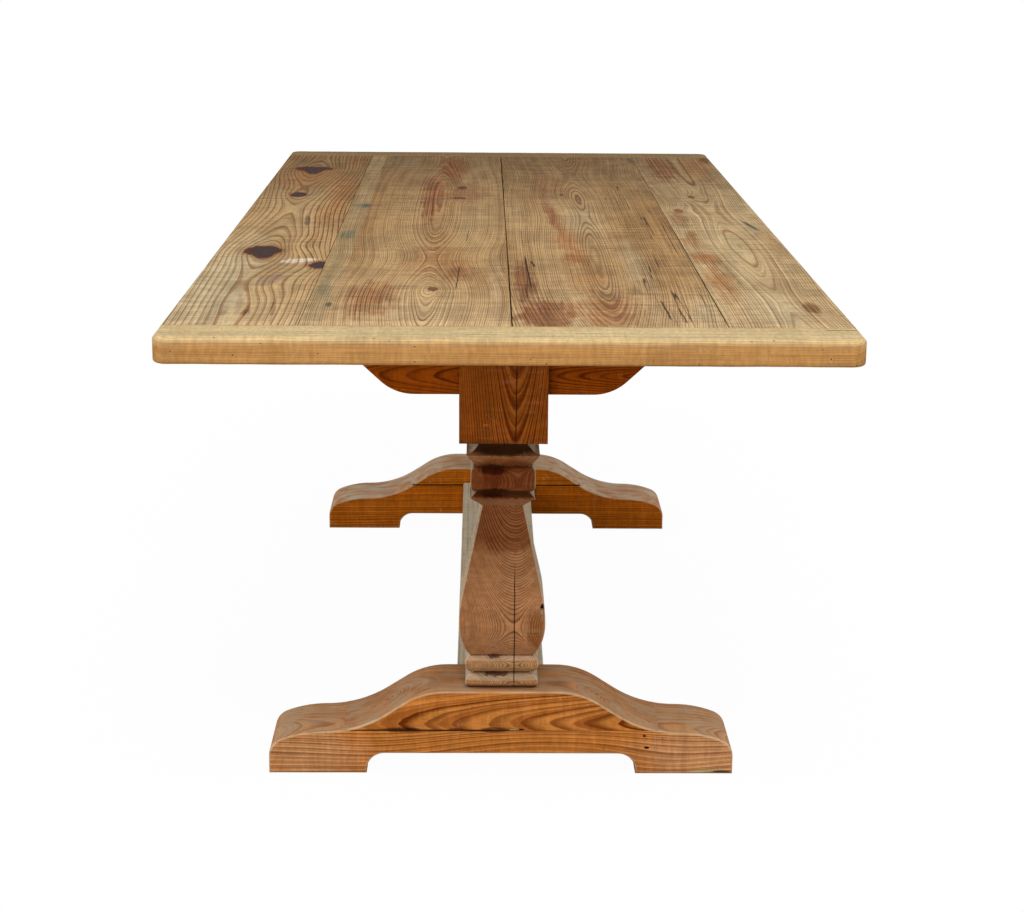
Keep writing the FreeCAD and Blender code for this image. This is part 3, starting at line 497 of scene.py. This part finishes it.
planks = {
    "plank_outer_left": {
        "pith": ((-384, 0, 728), (0.25, 0, 0.3)), "ringWidth": 3.6, "wander": 13, "seed": 2.0,
        "early": tint(201, 169, 120), "second": tint(184, 147, 98),
        "contrast": 0.45, "streaks": 0.3,
        "bold": [0.75, onTop(-312, 100, 40, 900, strength=1.0)],
        "knots": [onTop(-389, -348, 30, 42), onTop(-386, -384, 15, 40), onTop(-391, 722, 37, 36),
                  onTop(-390, 690, 17, 50), onTop(-390, 320, 15, 30), onTop(-288, -484, 15, 30)],
        "swells": [onTop(-384, 150, 200, 330, rise=24), onTop(-389, -356, 60, 110, rise=-16),
                   onTop(-391, 700, 70, 130, rise=-18), onTop(-390, 322, 34, 80, rise=-12),
                   onTop(-333, -300, 26, 80, rise=14), onTop(-288, -484, 36, 90, rise=-14),
                   onTop(-352, -640, 34, 120, rise=15)],
        "patches": [topPatch(-361, -864, 8, 42, shades["heart"], 0.9, 1.3, 0.5),
                    topPatch(-392, -868, 6, 42, shades["heart"], 0.8, 1.3, 0.5),
                    topPatch(-352, -610, 20, 74, tint(150, 124, 104), 0.75, 0.6, 0.6, turn=-8),
                    topPatch(-378, -800, 7, 110, tint(158, 128, 106), 0.7, 0.9, 0.3, turn=4),
                    topPatch(-326, -830, 4, 110, tint(132, 90, 56), 0.8, 0.9, 0.4, turn=3),
                    topPatch(-345, -20, 6, 76, tint(92, 66, 58), 0.8, 0.9, 0.5, turn=4),
                    topPatch(-430, -660, 74, 560, shades["bleached"], 0.9, 0.6, 0.2),
                    topPatch(-300, 880, 50, 150, shades["heart"], 0.5, inner=0.1),
                    topPatch(-308, 260, 34, 520, shades["amber"], 0.75, 0.9, 0.2),
                    topPatch(-390, 560, 90, 240, tint(164, 112, 64), 0.65, 0.9, 0.1),
                    topPatch(-325, -443, 31, 17, tint(244, 234, 214), 1.0, 0.7, 0.9, turn=24)],
    },
    "plank_inner_left": {
        "pith": ((-114, 0, 742), (0.1, 0, 0)), "ringWidth": 3.0, "wander": 9, "seed": 4.3,
        "contrast": 0.95,
        "bold": [0.25, onTop(-128, 300, 26, 320, strength=1.0), onTop(-200, -760, 40, 170, strength=0.9),
                 onTop(-112, -220, 34, 110, strength=0.7), onTop(-95, 700, 30, 200, strength=0.6),
                 onTop(-78, -560, 14, 130, strength=0.7)],
        "knots": [onTop(-75, 434, 9, 20, colour=tint(86, 56, 42), ragged=1.3),
                  onTop(-78, 285, 10, 12, colour=tint(112, 68, 42), ragged=1.3),
                  onTop(-105, -687, 6, 13, colour=tint(124, 78, 50), halo=0.35, ragged=1.5)],
        "swells": [onTop(-112, -420, 200, 200, rise=24), onTop(-105, -687, 26, 60, rise=-10),
                   onTop(-75, 434, 20, 60, rise=-8), onTop(-78, 285, 16, 50, rise=-7),
                   onTop(-112, -1150, 200, 260, rise=20), onTop(-112, 900, 200, 300, rise=22)],
        "patches": [topPatch(-263, 0, 19, 1300, shades["greenish"], 0.6, 0.25, 0.85),
                    topPatch(-258, 173, 20, 52, tint(104, 116, 102), 0.7, inner=0.1),
                    topPatch(-249, 173, 10, 34, shades["blueStain"], 0.8, inner=0.2),
                    topPatch(-263, -175, 19, 58, tint(108, 114, 92), 0.75, inner=0.3),
                    topPatch(-266, -680, 12, 120, tint(134, 124, 100), 0.75, inner=0.2),
                    topPatch(-250, -812, 5, 20, shades["blueStain"], 0.9),
                    topPatch(-228, 925, 10, 50, shades["blueStain"], 0.5, inner=0.2),
                    topPatch(-212, 840, 66, 170, tint(140, 124, 90), 0.6, 0.9, 0.1),
                    topPatch(-92, 740, 36, 260, tint(144, 90, 48), 0.95, 0.8, 0.4),
                    topPatch(-126, 330, 28, 360, tint(158, 98, 52), 0.85, 1.0, 0.4),
                    topPatch(-60, 360, 54, 160, tint(160, 104, 60), 0.6, 1.0, 0.2),
                    topPatch(-196, -760, 46, 170, tint(160, 100, 54), 0.8, 1.0, 0.2),
                    topPatch(-70, -520, 30, 110, tint(160, 100, 56), 0.75, 1.1, 0.1),
                    topPatch(-112, -420, 60, 190, shades["amber"], 0.6, 1.1, 0.1),
                    topPatch(-12, -620, 14, 300, tint(200, 176, 138), 0.6, 0.9, 0.1)],
        "cracks": [topCrack(-70, -590, 120, -1, width=1.1, strength=0.8),
                   topCrack(-58, -180, 80, -2, width=0.9, strength=0.6)],
    },
    "plank_inner_right": {
        "pith": ((150, 0, 738), (-0.1, 0, 0)), "ringWidth": 3.0, "wander": 9, "seed": 6.1,
        "contrast": 0.92,
        "checked": [onTop(244, -300, 62, 1100, strength=0.85), onTop(40, -500, 30, 500, strength=0.85)],
        "bold": [0.1, onTop(150, -850, 60, 170, strength=0.75), onTop(46, -780, 36, 200, strength=0.8),
                 onTop(240, -600, 50, 340, strength=0.45)],
        "knots": [onTop(159, -763, 3, 8, colour=tint(138, 112, 80), halo=0.3, ragged=1.6,
                        rim=tint(120, 84, 54)),
                  onTop(258, 37, 3.5, 14, colour=tint(120, 100, 76), halo=0.3, ragged=1.6,
                        rim=tint(110, 78, 52)),
                  onTop(121, 335, 3, 14, colour=tint(104, 76, 54), halo=0.3, ragged=1.6)],
        "swells": [onTop(148, -1080, 200, 260, rise=32), onTop(112, 60, 60, 200, rise=12),
                   onTop(150, 620, 200, 200, rise=16)],
        "patches": [topPatch(56, -880, 48, 130, tint(148, 92, 52), 0.95, 0.8, 0.5),
                    topPatch(30, -620, 22, 220, tint(138, 88, 52), 0.9, 0.9, 0.4),
                    topPatch(116, -400, 34, 84, shades["orange"], 0.85, 0.8, 0.3),
                    topPatch(112, -220, 30, 190, shades["orange"], 0.75, 1.0, 0.2),
                    topPatch(94, 60, 14, 250, tint(158, 96, 52), 0.9, 0.8, 0.4, turn=3),
                    topPatch(126, -580, 44, 150, shades["amber"], 0.65, 1.0, 0.1),
                    topPatch(142, -850, 60, 170, tint(176, 118, 66), 0.75, 0.9, 0.2),
                    topPatch(100, 460, 54, 280, tint(148, 100, 62), 0.5, 1.0, 0.1),
                    topPatch(208, -480, 34, 330, shades["bleached"], 0.6, 0.8, 0.0),
                    topPatch(150, 0, 50, 260, shades["bleached"], 0.4, 1.0, 0.0),
                    topPatch(282, -850, 26, 140, shades["bleached"], 0.6, 0.8, 0.0),
                    topPatch(193, -690, 18, 50, tint(126, 102, 68), 0.7, 0.6, 0.1),
                    topPatch(214, 905, 28, 100, tint(124, 84, 60), 0.5, 1.0, 0.1),
                    topPatch(293, 915, 7, 70, shades["blueStain"], 0.7, inner=0.2)],
        "cracks": [topCrack(38, -530, 160, 1, width=1.8), topCrack(47, -462, 30, 4, width=3.0, strength=0.8),
                   topCrack(146, -702, 9, 60, width=1.8, strength=0.7),
                   topCrack(226, -840, 80, 1, width=2.2, colour=tint(74, 48, 38)),
                   topCrack(246, -880, 60, 1, width=1.8, colour=tint(96, 66, 48))],
    },
    "plank_outer_right": {
        "pith": ((396, 0, 730), (0.2, 0, 0.3)), "ringWidth": 3.4, "wander": 11, "seed": 8.4,
        "early": tint(208, 182, 136), "second": tint(192, 160, 114),
        "contrast": 0.88,
        "bold": [0.22, onTop(390, 130, 50, 220, strength=0.6), onTop(353, 770, 40, 300, strength=0.7),
                 onTop(420, -400, 30, 300, strength=0.4)],
        "knots": [onTop(332, 131, 7, 20, colour=tint(140, 96, 58), halo=0.4, rim=tint(120, 76, 44)),
                  onTop(374, 318, 6, 16, colour=tint(128, 82, 46), halo=0.3)],
        "swells": [onTop(332, 131, 24, 60, rise=-16), onTop(374, 318, 24, 60, rise=-8),
                   onTop(396, 120, 200, 260, rise=14), onTop(396, -800, 200, 300, rise=14)],
        "patches": [topPatch(352, 780, 34, 300, tint(142, 92, 52), 0.95, 0.8, 0.4),
                    topPatch(430, 760, 44, 300, tint(160, 106, 60), 0.6, 1.0, 0.1),
                    topPatch(326, -400, 30, 84, shades["orange"], 0.85, 0.6, 0.3),
                    topPatch(322, -240, 22, 90, shades["orange"], 0.75, 0.9, 0.2),
                    topPatch(328, -150, 13, 50, shades["orange"], 0.65, 0.9, 0.3),
                    topPatch(328, -620, 26, 220, tint(180, 124, 70), 0.8, 1.0, 0.2),
                    topPatch(326, 30, 22, 130, tint(150, 98, 58), 0.65, 1.0, 0.2),
                    topPatch(376, -820, 60, 190, shades["bleached"], 0.85, 0.7, 0.0),
                    topPatch(368, -560, 13, 240, shades["bleached"], 0.6, 0.9, 0.0),
                    topPatch(458, -220, 24, 150, tint(186, 132, 78), 0.45, 1.1, 0.1),
                    topPatch(462, 920, 12, 60, tint(104, 64, 36), 0.7),
                    topPatch(443, -47, 5, 64, shades["blueStain"], 0.95, 0.3, turn=8),
                    topPatch(435, -818, 14, 50, tint(132, 92, 48), 0.95, 0.4)],
        "cracks": [topCrack(352, -520, 200, 2, width=0.8, strength=0.4)],
    },
}
# painted shade: the far half of the top is painted darker where less light reaches it; the near end is
# painted paler, partly bleaching and partly a painted pool of light
endLightAndShade = [topPatch(0, 1150, 1500, 1200, tint(112, 84, 48), 0.85, 0.08, 0.15),
        topPatch(0, -1250, 1500, 700, tint(228, 202, 158), 0.7, 0.1, 0.2)]
seams = [topCrack(8, 640, 420, width=1.4, waver=0.6, strength=0.85),
         topCrack(8, -760, 420, width=1.4, waver=0.6, strength=0.85),
         topCrack(8, 0, 1200, width=1.0, waver=0.6, strength=0.5),
         topCrack(301, -500, 600, width=1.1, waver=0.6, strength=0.7)]
plankCommon = {
    "early": shades["straw"], "second": shades["tan"], "late": [0.42, 0.24, 0.12, 1.0],
    "boldLate": [0.40, 0.22, 0.10, 1.0], "evenPatches": 0.65, "blotch": 0.82, "lineShare": 0.42,
    "faintest": 0.45, "saw": 0.26,
}

breadboard = {  # its front is painted more orange than its top, partly the wood's own less bleached colour and partly painted shade up the lower arris; a pale band along the arris top is a painted highlight
    "pith": ((0, -1016, 690), (0, 0, -90)), "ringWidth": 1.7, "wander": 6, "seed": 3.0, "blotch": 0.95,
    "early": tint(216, 188, 138), "second": tint(212, 180, 126), "contrast": 0.6, "lineShare": 0.4,
    "holes": 14, "holeRadius": 1.0, "scratches": 0.4, "scrape": 0.08, "saw": 0.12,
    # the front's orange, reaching up the lower arris as painted shade against the light the rounding catches
    "patches": [{"at": (0, -1046, 731), "reach": (3000, 30, 28), "colour": tint(185, 131, 71),
                 "strength": 0.92, "ragged": 0.1, "inner": 0.52},
                # painted highlight: a pale band along the top of the front arris
                {"at": (0, -1008, 765), "reach": (3000, 60, 8), "colour": tint(211, 189, 143),
                 "strength": 0.75, "ragged": 0.4, "inner": 0.8}],
    "cracks": [{"at": (458, -977, 760), "turn": (0, 0, 90), "half": 34, "width": 2.2, "depth": 12}],
}


def band(z, halfZ, colour, strength, ragged=0.3, halfX=90, y=-709, **more):  # a stripe right round a post
    return onFace(0, z, halfX, halfZ, y=y, depth=400, colour=colour, strength=strength, ragged=ragged, **more)


posts = {
    "near": {
        "pith": ((20, -628, 560), (93.2, 0, 0)), "ringWidth": 1.15, "wander": 12, "seed": 5.0,
        "bold": [0.0, onFace(0, 640, 400, 190, depth=800, strength=0.75),
                 onFace(50, 236, 13, 36, strength=0.6), onFace(0, 469, 90, 30, depth=400, strength=0.6),
                 onFace(-12, 396, 50, 52, strength=0.8)],
        # the block: its own orange, darkened partly as painted shade under the table top
        "patches": [band(640, 112, tint(164, 86, 16), 0.97, 0.04, halfX=400, inner=0.92),
                    # painted shadow: a near-black band round the cove under the block
                    band(519, 13, tint(44, 16, 4), 0.95, 0.2, halfX=74),
                    # the torus and the vase top: their own colour, darkened partly as painted shade under the
                    # table top
                    band(470, 40, tint(140, 76, 36), 0.95),
                    band(396, 50, tint(140, 80, 42), 0.85),
                    # painted light: a pale band on the downward slope under the lip
                    band(431, 8, tint(176, 124, 84), 0.8, 0.2),
                    # painted shade: a dark band on the upward slope of the lip, which faces the table's
                    # underside
                    band(445.5, 5, tint(92, 54, 28), 0.9, 0.2),
                    onFace(-16, 468, 22, 22, colour=tint(112, 46, 18), strength=0.8, ragged=0.8, inner=0.3),
                    onFace(-16, 485, 27, 9, colour=shades["resinRed"], strength=0.95, ragged=0.6),
                    onFace(-14, 449, 27, 9, colour=shades["resinRed"], strength=0.95, ragged=0.6),
                    onFace(50, 236, 12, 34, colour=tint(156, 94, 48), strength=0.7, ragged=0.8),
                    band(164, 26, tint(184, 142, 96), 0.85, 0.2, halfX=80),
                    # the up-facing chamfers of the base, painted pale: partly dust and partly painted light
                    band(185, 4.4, tint(206, 172, 138), 0.8, 0.15, inner=0.85),
                    band(154, 5.4, tint(210, 178, 144), 0.8, 0.15, inner=0.85),
                    # painted shade: dark lines in the grooves under the vase and under the upper bead
                    band(189, 1.4, shades["groove"], 0.8),
                    band(159.5, 1.4, shades["groove"], 0.8),
                    onFace(-9, 188, 12, 4, colour=shades["resinRed"], strength=0.85, ragged=1.6),
                    onFace(-11, 158, 22, 5, colour=shades["resinRed"], strength=0.9, ragged=1.6)],
        "knots": [onFace(63, 273, 4, 3.4, depth=12, colour=shades["hole"], haloColour=tint(104, 60, 34),
                         halo=0.5, ragged=1.2),
                  onFace(60.5, 264.5, 2.6, 4.5, depth=12, colour=tint(158, 144, 110), halo=0.1,
                         rim=tint(110, 80, 56), ragged=1.2)],
        "swells": [onFace(66, 235, 20, 46, rise=9), onFace(-46, 468, 40, 16, rise=13)],
        "cracks": [{"at": (19, -700, 232), "turn": (90, 0, 0), "half": 112, "width": 1.2, "waver": 1.5,
                    "depth": 60},
                   {"at": (19, -709, 600), "turn": (90, 0.5, 0), "half": 76, "width": 1.1, "waver": 2,
                    "depth": 20}],
    },
    "far": {
        "pith": ((-8, 624, 500), (87, 0, 0)), "ringWidth": 2.0, "wander": 6, "seed": 6.4,
        # paler than the near post: partly its own grey and partly painted light on a front that lies in shade
        "early": tint(198, 162, 126), "second": tint(182, 146, 108), "contrast": 0.6,
        # the block band is its own orange darkened partly as painted shade; the band at 519 is a painted
        # shadow in the cove
        "patches": [band(640, 112, tint(146, 78, 20), 0.95, 0.04, halfX=400, y=643, inner=0.92),
                    band(519, 13, tint(58, 24, 8), 0.7, 0.2, halfX=74, y=643)],
        "cracks": [{"at": (-6, 709, 250), "turn": (90, 0, 0), "half": 120, "width": 0.9, "waver": 2,
                    "depth": 60}],
    },
}
postCommon = {
    "boldLate": [0.30, 0.12, 0.06, 1.0], "faintest": 0.75, "pace": 0.8,
    "early": tint(190, 134, 90), "second": tint(174, 116, 72), "late": shades["lateDark"],
    "contrast": 0.68, "lineShare": 0.5, "saw": 0.1, "scrape": 0.08, "grimeAndShade": 0.9,
    "flank": (tint(226, 210, 178), 0.85),
    "arrisWearAndHighlight": (tint(206, 184, 150), 0.6, 0.0),
}

footCommon = {
    "early": tint(214, 138, 66), "second": tint(202, 124, 54), "late": shades["lateDark"],
    "contrast": 0.85, "lineShare": 0.5, "saw": 0.1, "scrape": 0.05, "bold": [0.55],
    "dustAndSheen": (tint(184, 156, 124), 0.8),
    "boldLate": [0.34, 0.15, 0.05, 1.0],
    "arrisWearAndHighlight": (tint(208, 180, 142), 0.75, 1.0),
}
farFoot = {"contrast": 0.6, "bold": [0.25], "faintest": 0.6, "dustAndSheen": (tint(204, 186, 158), 0.95)}
footLayers = {
    "beam_near": {
        "pith": ((60, -690, -16), (0, 0.6, -90.6)), "ringWidth": 3.4, "wander": 22, "seed": 7.0,
        "swells": [onFace(-190, 40, 130, 34, depth=300, rise=11),
                   onFace(70, 52, 150, 30, depth=300, rise=-10),
                   onFace(260, 20, 90, 30, depth=300, rise=9)],
        "patches": [onFace(-300, 30, 110, 60, depth=300, colour=tint(212, 158, 110), strength=0.8,
                           ragged=0.3, inner=0.3),
                    onFace(310, 30, 130, 60, depth=300, colour=tint(216, 164, 116), strength=0.8,
                           ragged=0.3, inner=0.3),
                    onFace(326, 4, 36, 5, colour=tint(200, 170, 118), strength=0.95, ragged=0.9),
                    onFace(344, 4, 18, 3, colour=tint(62, 46, 28), strength=0.9, ragged=0.8),
                    onFace(-150, 71, 34, 2.5, colour=shades["glueStain"], strength=0.8),
                    onFace(-12, 71, 24, 2.5, colour=shades["glueStain"], strength=0.8)],
        "cracks": [levelCrack(-105, -713.5, 71.6, 142, width=1.3, waver=1.0)],
        "knots": [onFace(222, 63.5, 2.4, 1.6, colour=shades["hole"], halo=0.3),
                  onFace(226, 44, 3.6, 1.8, colour=shades["hole"], halo=0.3)],
    },
    "crown_near": {
        "pith": ((160, -684, 86), (0, 0, -95.2)), "ringWidth": 4.6, "wander": 12, "seed": 7.6,
        "contrast": 1.0, "lineShare": 0.6, "streaks": 0.2,
        "patches": [onFace(-150, 74, 34, 3, colour=shades["glueStain"], strength=0.8),
                    onFace(-12, 74, 24, 4, colour=shades["glueStain"], strength=0.8),
                    onFace(-70, 74, 14, 3, colour=shades["glueStain"], strength=0.7)],
        "cracks": [levelCrack(-105, -713.5, 72.4, 142, width=1.3, waver=1.0)],
        "knots": [onFace(31, 72, 4.4, 3.0, colour=shades["hole"], halo=0.3),
                  onFace(18, 73, 6, 1.8, colour=tint(168, 146, 112), halo=0.2, rim=tint(110, 70, 40))],
    },
    "beam_far": {
        "pith": ((0, 606, -10), (0, -0.6, -91)), "ringWidth": 4.8, "wander": 14, "seed": 8.1,
        "early": tint(208, 116, 26), "second": tint(194, 103, 20), **farFoot,
        "cracks": [levelCrack(0, 590.5, 97.5, 400, width=1.3, waver=1.0)],
    },
    "crown_far": {
        "pith": ((0, 600, 60), (0, 0.6, -92)), "ringWidth": 4.4, "wander": 16, "seed": 9.3,
        "early": tint(208, 118, 28), "second": tint(194, 105, 20), **farFoot,
        "cracks": [levelCrack(0, 590.5, 98.5, 400, width=1.3, waver=1.0)],
    },
}

bearers = {
    "near": {"pith": ((100, -664, 627), (0, 0, -94.8)), "seed": 9.0, "wander": 8, "pace": 1.0,
             "faintest": 0.6},
    "far": {"pith": ((-30, 600, 650), (0, -1.2, -90)), "seed": 9.7},
}
bearerCommon = {
    "ringWidth": 3.0, "wander": 18, "early": tint(160, 76, 8), "second": tint(146, 66, 8),
    "late": shades["lateDark"], "contrast": 0.9, "saw": 0.05, "scrape": 0.02,
}

stretcherLook = {
    "pith": ((20, 0, -20), (0.5, 0, 0)), "ringWidth": 5, "wander": 14, "seed": 1.5,
    # painted light: near-white colours, partly its own pale grey and partly to brighten a stretcher that lies
    # in the table's shade
    "early": tint(228, 214, 186), "second": tint(204, 188, 158), "contrast": 0.5,
    "dustAndSheen": (tint(228, 217, 192), 0.5),
}


# pieces

wornShapes = {  # slices and wear in mm, waves in a metre, and from how many degrees an edge stays crisp
    "plank": {"slotName": "top_planks", "steps": (24, 60, None), "relief": 0.35},
    "breadboard": {"slotName": "breadboard", "steps": (14, 14, None), "relief": 0.6, "wave": (30, 30, 30)},
    "foot": {"slotName": "foot_pine", "steps": (12, 20, None), "relief": 0.5},
    "post": {"slotName": "post_pine", "steps": (14, 14, 12), "relief": 0.5, "crisp": 20},
    "bearer": {"slotName": "bearer_pine", "steps": (16, None, 16), "relief": 0.4},
    "stretcher": {"slotName": "stretcher_pine", "steps": (18, 30, None), "relief": 0.5},
}
arrises = {"plank": 0.3, "breadboard": 0.7, "foot": 3.0, "post": 1.5, "carvedFrom": 135.9, "carvedTo": 529.9}
touching = 0.0002


def bevelEdges(shape, pick, width, segments):
    edges = [edge for edge in shape.edges if len(edge.link_faces) == 2
             and edge.calc_face_angle() > math.radians(24) and pick(*[corner.co for corner in edge.verts])]
    bmesh.ops.bevel(shape, geom=edges, offset=width * mm, segments=segments, profile=0.5,
                    affect="EDGES", material=-1, clamp_overlap=False)


def sliceUp(shape, low, high, steps):  # so that long faces can bend
    for axis, step in enumerate(steps):
        if step is None:
            continue
        way = Vector([1.0 if axis == other else 0.0 for other in range(3)])
        count = round((high[axis] - low[axis]) / (step * mm))
        for index in range(1, count):
            spot = way * (low[axis] + (high[axis] - low[axis]) * index / count)
            bmesh.ops.bisect_plane(shape, geom=shape.verts[:] + shape.edges[:] + shape.faces[:],
                                   dist=0.000001, plane_co=spot, plane_no=way)


def wearFaces(shape, relief, wave, crisp):
    shape.normal_update()
    for edge in shape.edges:  # the front and back faces stay flat beside rounded arrises
        upright = [abs(face.normal.y) > 0.9999 for face in edge.link_faces]
        alike = len(upright) == 2 and upright[0] == upright[1]
        edge.smooth = alike and edge.calc_face_angle() < math.radians(crisp)
    for corner in shape.verts:
        spot = Vector([value * scale for value, scale in zip(corner.co, wave)])
        corner.co -= corner.normal * relief * mm * (0.5 + 0.5 * noise.noise(spot))
    for face in shape.faces:
        face.smooth = True


def softened(node, slotName, steps, relief, wave=(9, 9, 9), crisp=32, bevel=None):
    shape = bmesh.new()
    shape.from_mesh(nodes[node].data)
    bmesh.ops.remove_doubles(shape, verts=shape.verts, dist=0.00002)
    bmesh.ops.dissolve_limit(shape, angle_limit=math.radians(0.6), verts=shape.verts, edges=shape.edges)
    if bevel:
        bevelEdges(shape, *bevel)
    sliceUp(shape, *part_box(node), steps)
    wearFaces(shape, relief, wave, crisp)
    mesh = bpy.data.meshes.new(node + "_worn")
    shape.to_mesh(mesh)
    shape.free()
    piece = bpy.data.objects.new(node + "_worn", mesh)
    bpy.context.scene.collection.objects.link(piece)
    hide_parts(node)
    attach(piece, "root")
    return piece


def onLevel(level):
    return lambda a, b: abs(a.z - level) < touching and abs(b.z - level) < touching


def roundFaces(low, high, glueLine):  # the outline of the front and back faces, but not the glue line
    def pick(a, b):
        if abs(a.z - glueLine) + abs(b.z - glueLine) < touching:
            return False
        return any(abs(a.y - y) < touching and abs(b.y - y) < touching for y in (low.y, high.y))
    return pick


def onMitres(middle, bottom, top):  # a post's four upright corners, where its carved faces meet
    def pick(a, b):
        return all(abs(abs(p.x - middle.x) - abs(p.y - middle.y)) < 0.0005 and bottom < p.z < top
                   for p in (a, b))
    return pick


def dress(piece, material):
    piece.data.materials.clear()
    piece.data.materials.append(material)


topFace = onLevel(cadBox[1][2])
for node, look in planks.items():
    look = {**common, **plankCommon, **look, "cracks": look.get("cracks", []) + seams,
            "patches": endLightAndShade + look["patches"]}
    piece = softened(node, **wornShapes["plank"], bevel=(topFace, arrises["plank"], 2))
    dress(piece, pine(node + "_pine", look))
for trestle in ("near", "far"):
    node = "breadboard_" + trestle
    # the breadboards take only the painted shade of the far end
    look = {**common, **breadboard, "patches": endLightAndShade[:1] + breadboard["patches"]}
    piece = softened(node, **wornShapes["breadboard"], bevel=(topFace, arrises["breadboard"], 2))
    dress(piece, pine(node + "_pine", look))
print("top dressed")

for trestle in ("near", "far"):
    for layer in ("beam", "crown"):
        node = "foot_%s_%s" % (layer, trestle)
        low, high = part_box(node)
        outline = roundFaces(low, high, high.z if layer == "beam" else low.z)
        piece = softened(node, **wornShapes["foot"], bevel=(outline, arrises["foot"], 3))
        dress(piece, pine(node + "_pine", {**common, **footCommon, **footLayers[layer + "_" + trestle]}))
    node = "post_" + trestle
    low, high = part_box(node)
    corners = onMitres((low + high) / 2, arrises["carvedFrom"] * mm, arrises["carvedTo"] * mm)
    piece = softened(node, **wornShapes["post"], bevel=(corners, arrises["post"], 2))
    dress(piece, pine(node + "_pine", {**common, **postCommon, **posts[trestle]}))
    piece = softened("bearer_" + trestle, **wornShapes["bearer"])
    dress(piece, pine("bearer_pine_" + trestle, {**common, **bearerCommon, **bearers[trestle]}))
piece = softened("stretcher", **wornShapes["stretcher"])
dress(piece, pine("stretcher_pine", {**common, **stretcherLook}))

# the pegs take the stretcher's pale look, painted light included
pegPine = pine("peg_pine", {**common, **stretcherLook, "ringWidth": 2})
steelLook = {"Base Color": tint(110, 104, 96), "Metallic": 1.0, "Roughness": 0.45}
steel = bpy.data.materials.new("screw_steel")
steel.use_nodes = True
for socket, value in steelLook.items():
    steel.node_tree.nodes["Principled BSDF"].inputs[socket].default_value = value
for node in nodes:
    if "peg" in node or "tongue" in node:
        dress(nodes[node], pegPine)
    elif "screw" in node:
        dress(nodes[node], steel)
print("trestles dressed")


# stage, lights and camera

stage = {"floorHalf": 40, "bounce": 0.4, "seenFloor": 0.92, "nearReach": 1.2, "whiteNear": 0.97,
         "farReach": 3.6, "whiteFar": 1.0, "world": 0.36}
floorShape = bmesh.new()
bmesh.ops.create_grid(floorShape, x_segments=1, y_segments=1, size=stage["floorHalf"])
floorMesh = bpy.data.meshes.new("studio_floor")
floorShape.to_mesh(floorMesh)
floorShape.free()
floor = bpy.data.objects.new("studio_floor", floorMesh)
bpy.context.scene.collection.objects.link(floor)
floorMaterial = bpy.data.materials.new("studio_white")
floorMaterial.use_nodes = True
tree = floorMaterial.node_tree
tree.nodes.clear()
away = vectors(tree, "LENGTH", addNode(tree, "TexCoord").outputs["Object"])
share = between(tree, away, stage["nearReach"], stage["farReach"], stage["whiteNear"], stage["whiteFar"])
seen = addNode(tree, "LightPath").outputs["Is Camera Ray"]
paint = addNode(tree, "BsdfDiffuse", {"Color": [stage["seenFloor"]] * 3 + [1]}).outputs[0]
glow = addNode(tree, "Emission", {"Color": (1, 1, 1, 1), "Strength": 1.0}).outputs[0]
white = addNode(tree, "MixShader", {0: share, 1: paint, 2: glow}).outputs[0]
dull = addNode(tree, "BsdfDiffuse", {"Color": [stage["bounce"]] * 3 + [1]}).outputs[0]
wire(tree, addNode(tree, "MixShader", {0: seen, 1: dull, 2: white}).outputs[0],
     addNode(tree, "OutputMaterial").inputs["Surface"])
floorMesh.materials.append(floorMaterial)

world = bpy.data.worlds.new("studio")
bpy.context.scene.world = world
world.use_nodes = True
sky = world.node_tree
seen = addNode(sky, "LightPath").outputs["Is Camera Ray"]
sky.nodes["Background"].inputs["Color"].default_value = (1, 1, 1, 1)
wire(sky, maths(sky, "MAXIMUM", seen, stage["world"]), sky.nodes["Background"].inputs["Strength"])

lamps = {
    "key": {"place": (0.4, -3.9, 5.0), "aim": (0, -0.5, 0.4), "size": (2.6, 2.2), "power": 176},
    "fill": {"place": (-1.2, -5.6, 1.2), "aim": (0, 0, 0.35), "size": (2.4, 1.6), "power": 84},
    "back": {"place": (0.0, 3.8, 3.0), "aim": (0, 0.4, 0.5), "size": (2.2, 2.0), "power": 40},
    "left": {"place": (-3.6, -0.2, 1.5), "aim": (0, 0, 0.4), "size": (2.0, 2.0), "power": 40},
    "right": {"place": (3.6, 0.2, 1.5), "aim": (0, 0, 0.4), "size": (2.0, 2.0), "power": 40},
}
for name, values in lamps.items():
    lamp = bpy.data.lights.new(name, "AREA")
    lamp.shape = "RECTANGLE"
    lamp.size, lamp.size_y = values["size"]
    lamp.energy = values["power"]
    holder = bpy.data.objects.new(name, lamp)
    holder.location = values["place"]
    way = Vector(values["aim"]) - Vector(values["place"])
    holder.rotation_euler = way.to_track_quat("-Z", "Y").to_euler()
    bpy.context.scene.collection.objects.link(holder)

view = {"lens": 72.69, "sensor": 36, "place": (-0.037709, -3.697963, 1.312408),
        "tilt": 15.0, "swing": -0.8849, "roll": 0.4831}
lens = bpy.data.cameras.new("camera")
lens.lens = view["lens"]
lens.sensor_width = view["sensor"]
camera = bpy.data.objects.new("camera", lens)
turn = (Matrix.Rotation(math.radians(view["swing"]), 4, "Z")
        @ Matrix.Rotation(math.radians(90 - view["tilt"]), 4, "X")
        @ Matrix.Rotation(math.radians(view["roll"]), 4, "Z"))
camera.matrix_world = Matrix.Translation(view["place"]) @ turn
bpy.context.scene.collection.objects.link(camera)
bpy.context.scene.camera = camera
bpy.context.scene.view_settings.view_transform = "Standard"
print("stage ready")
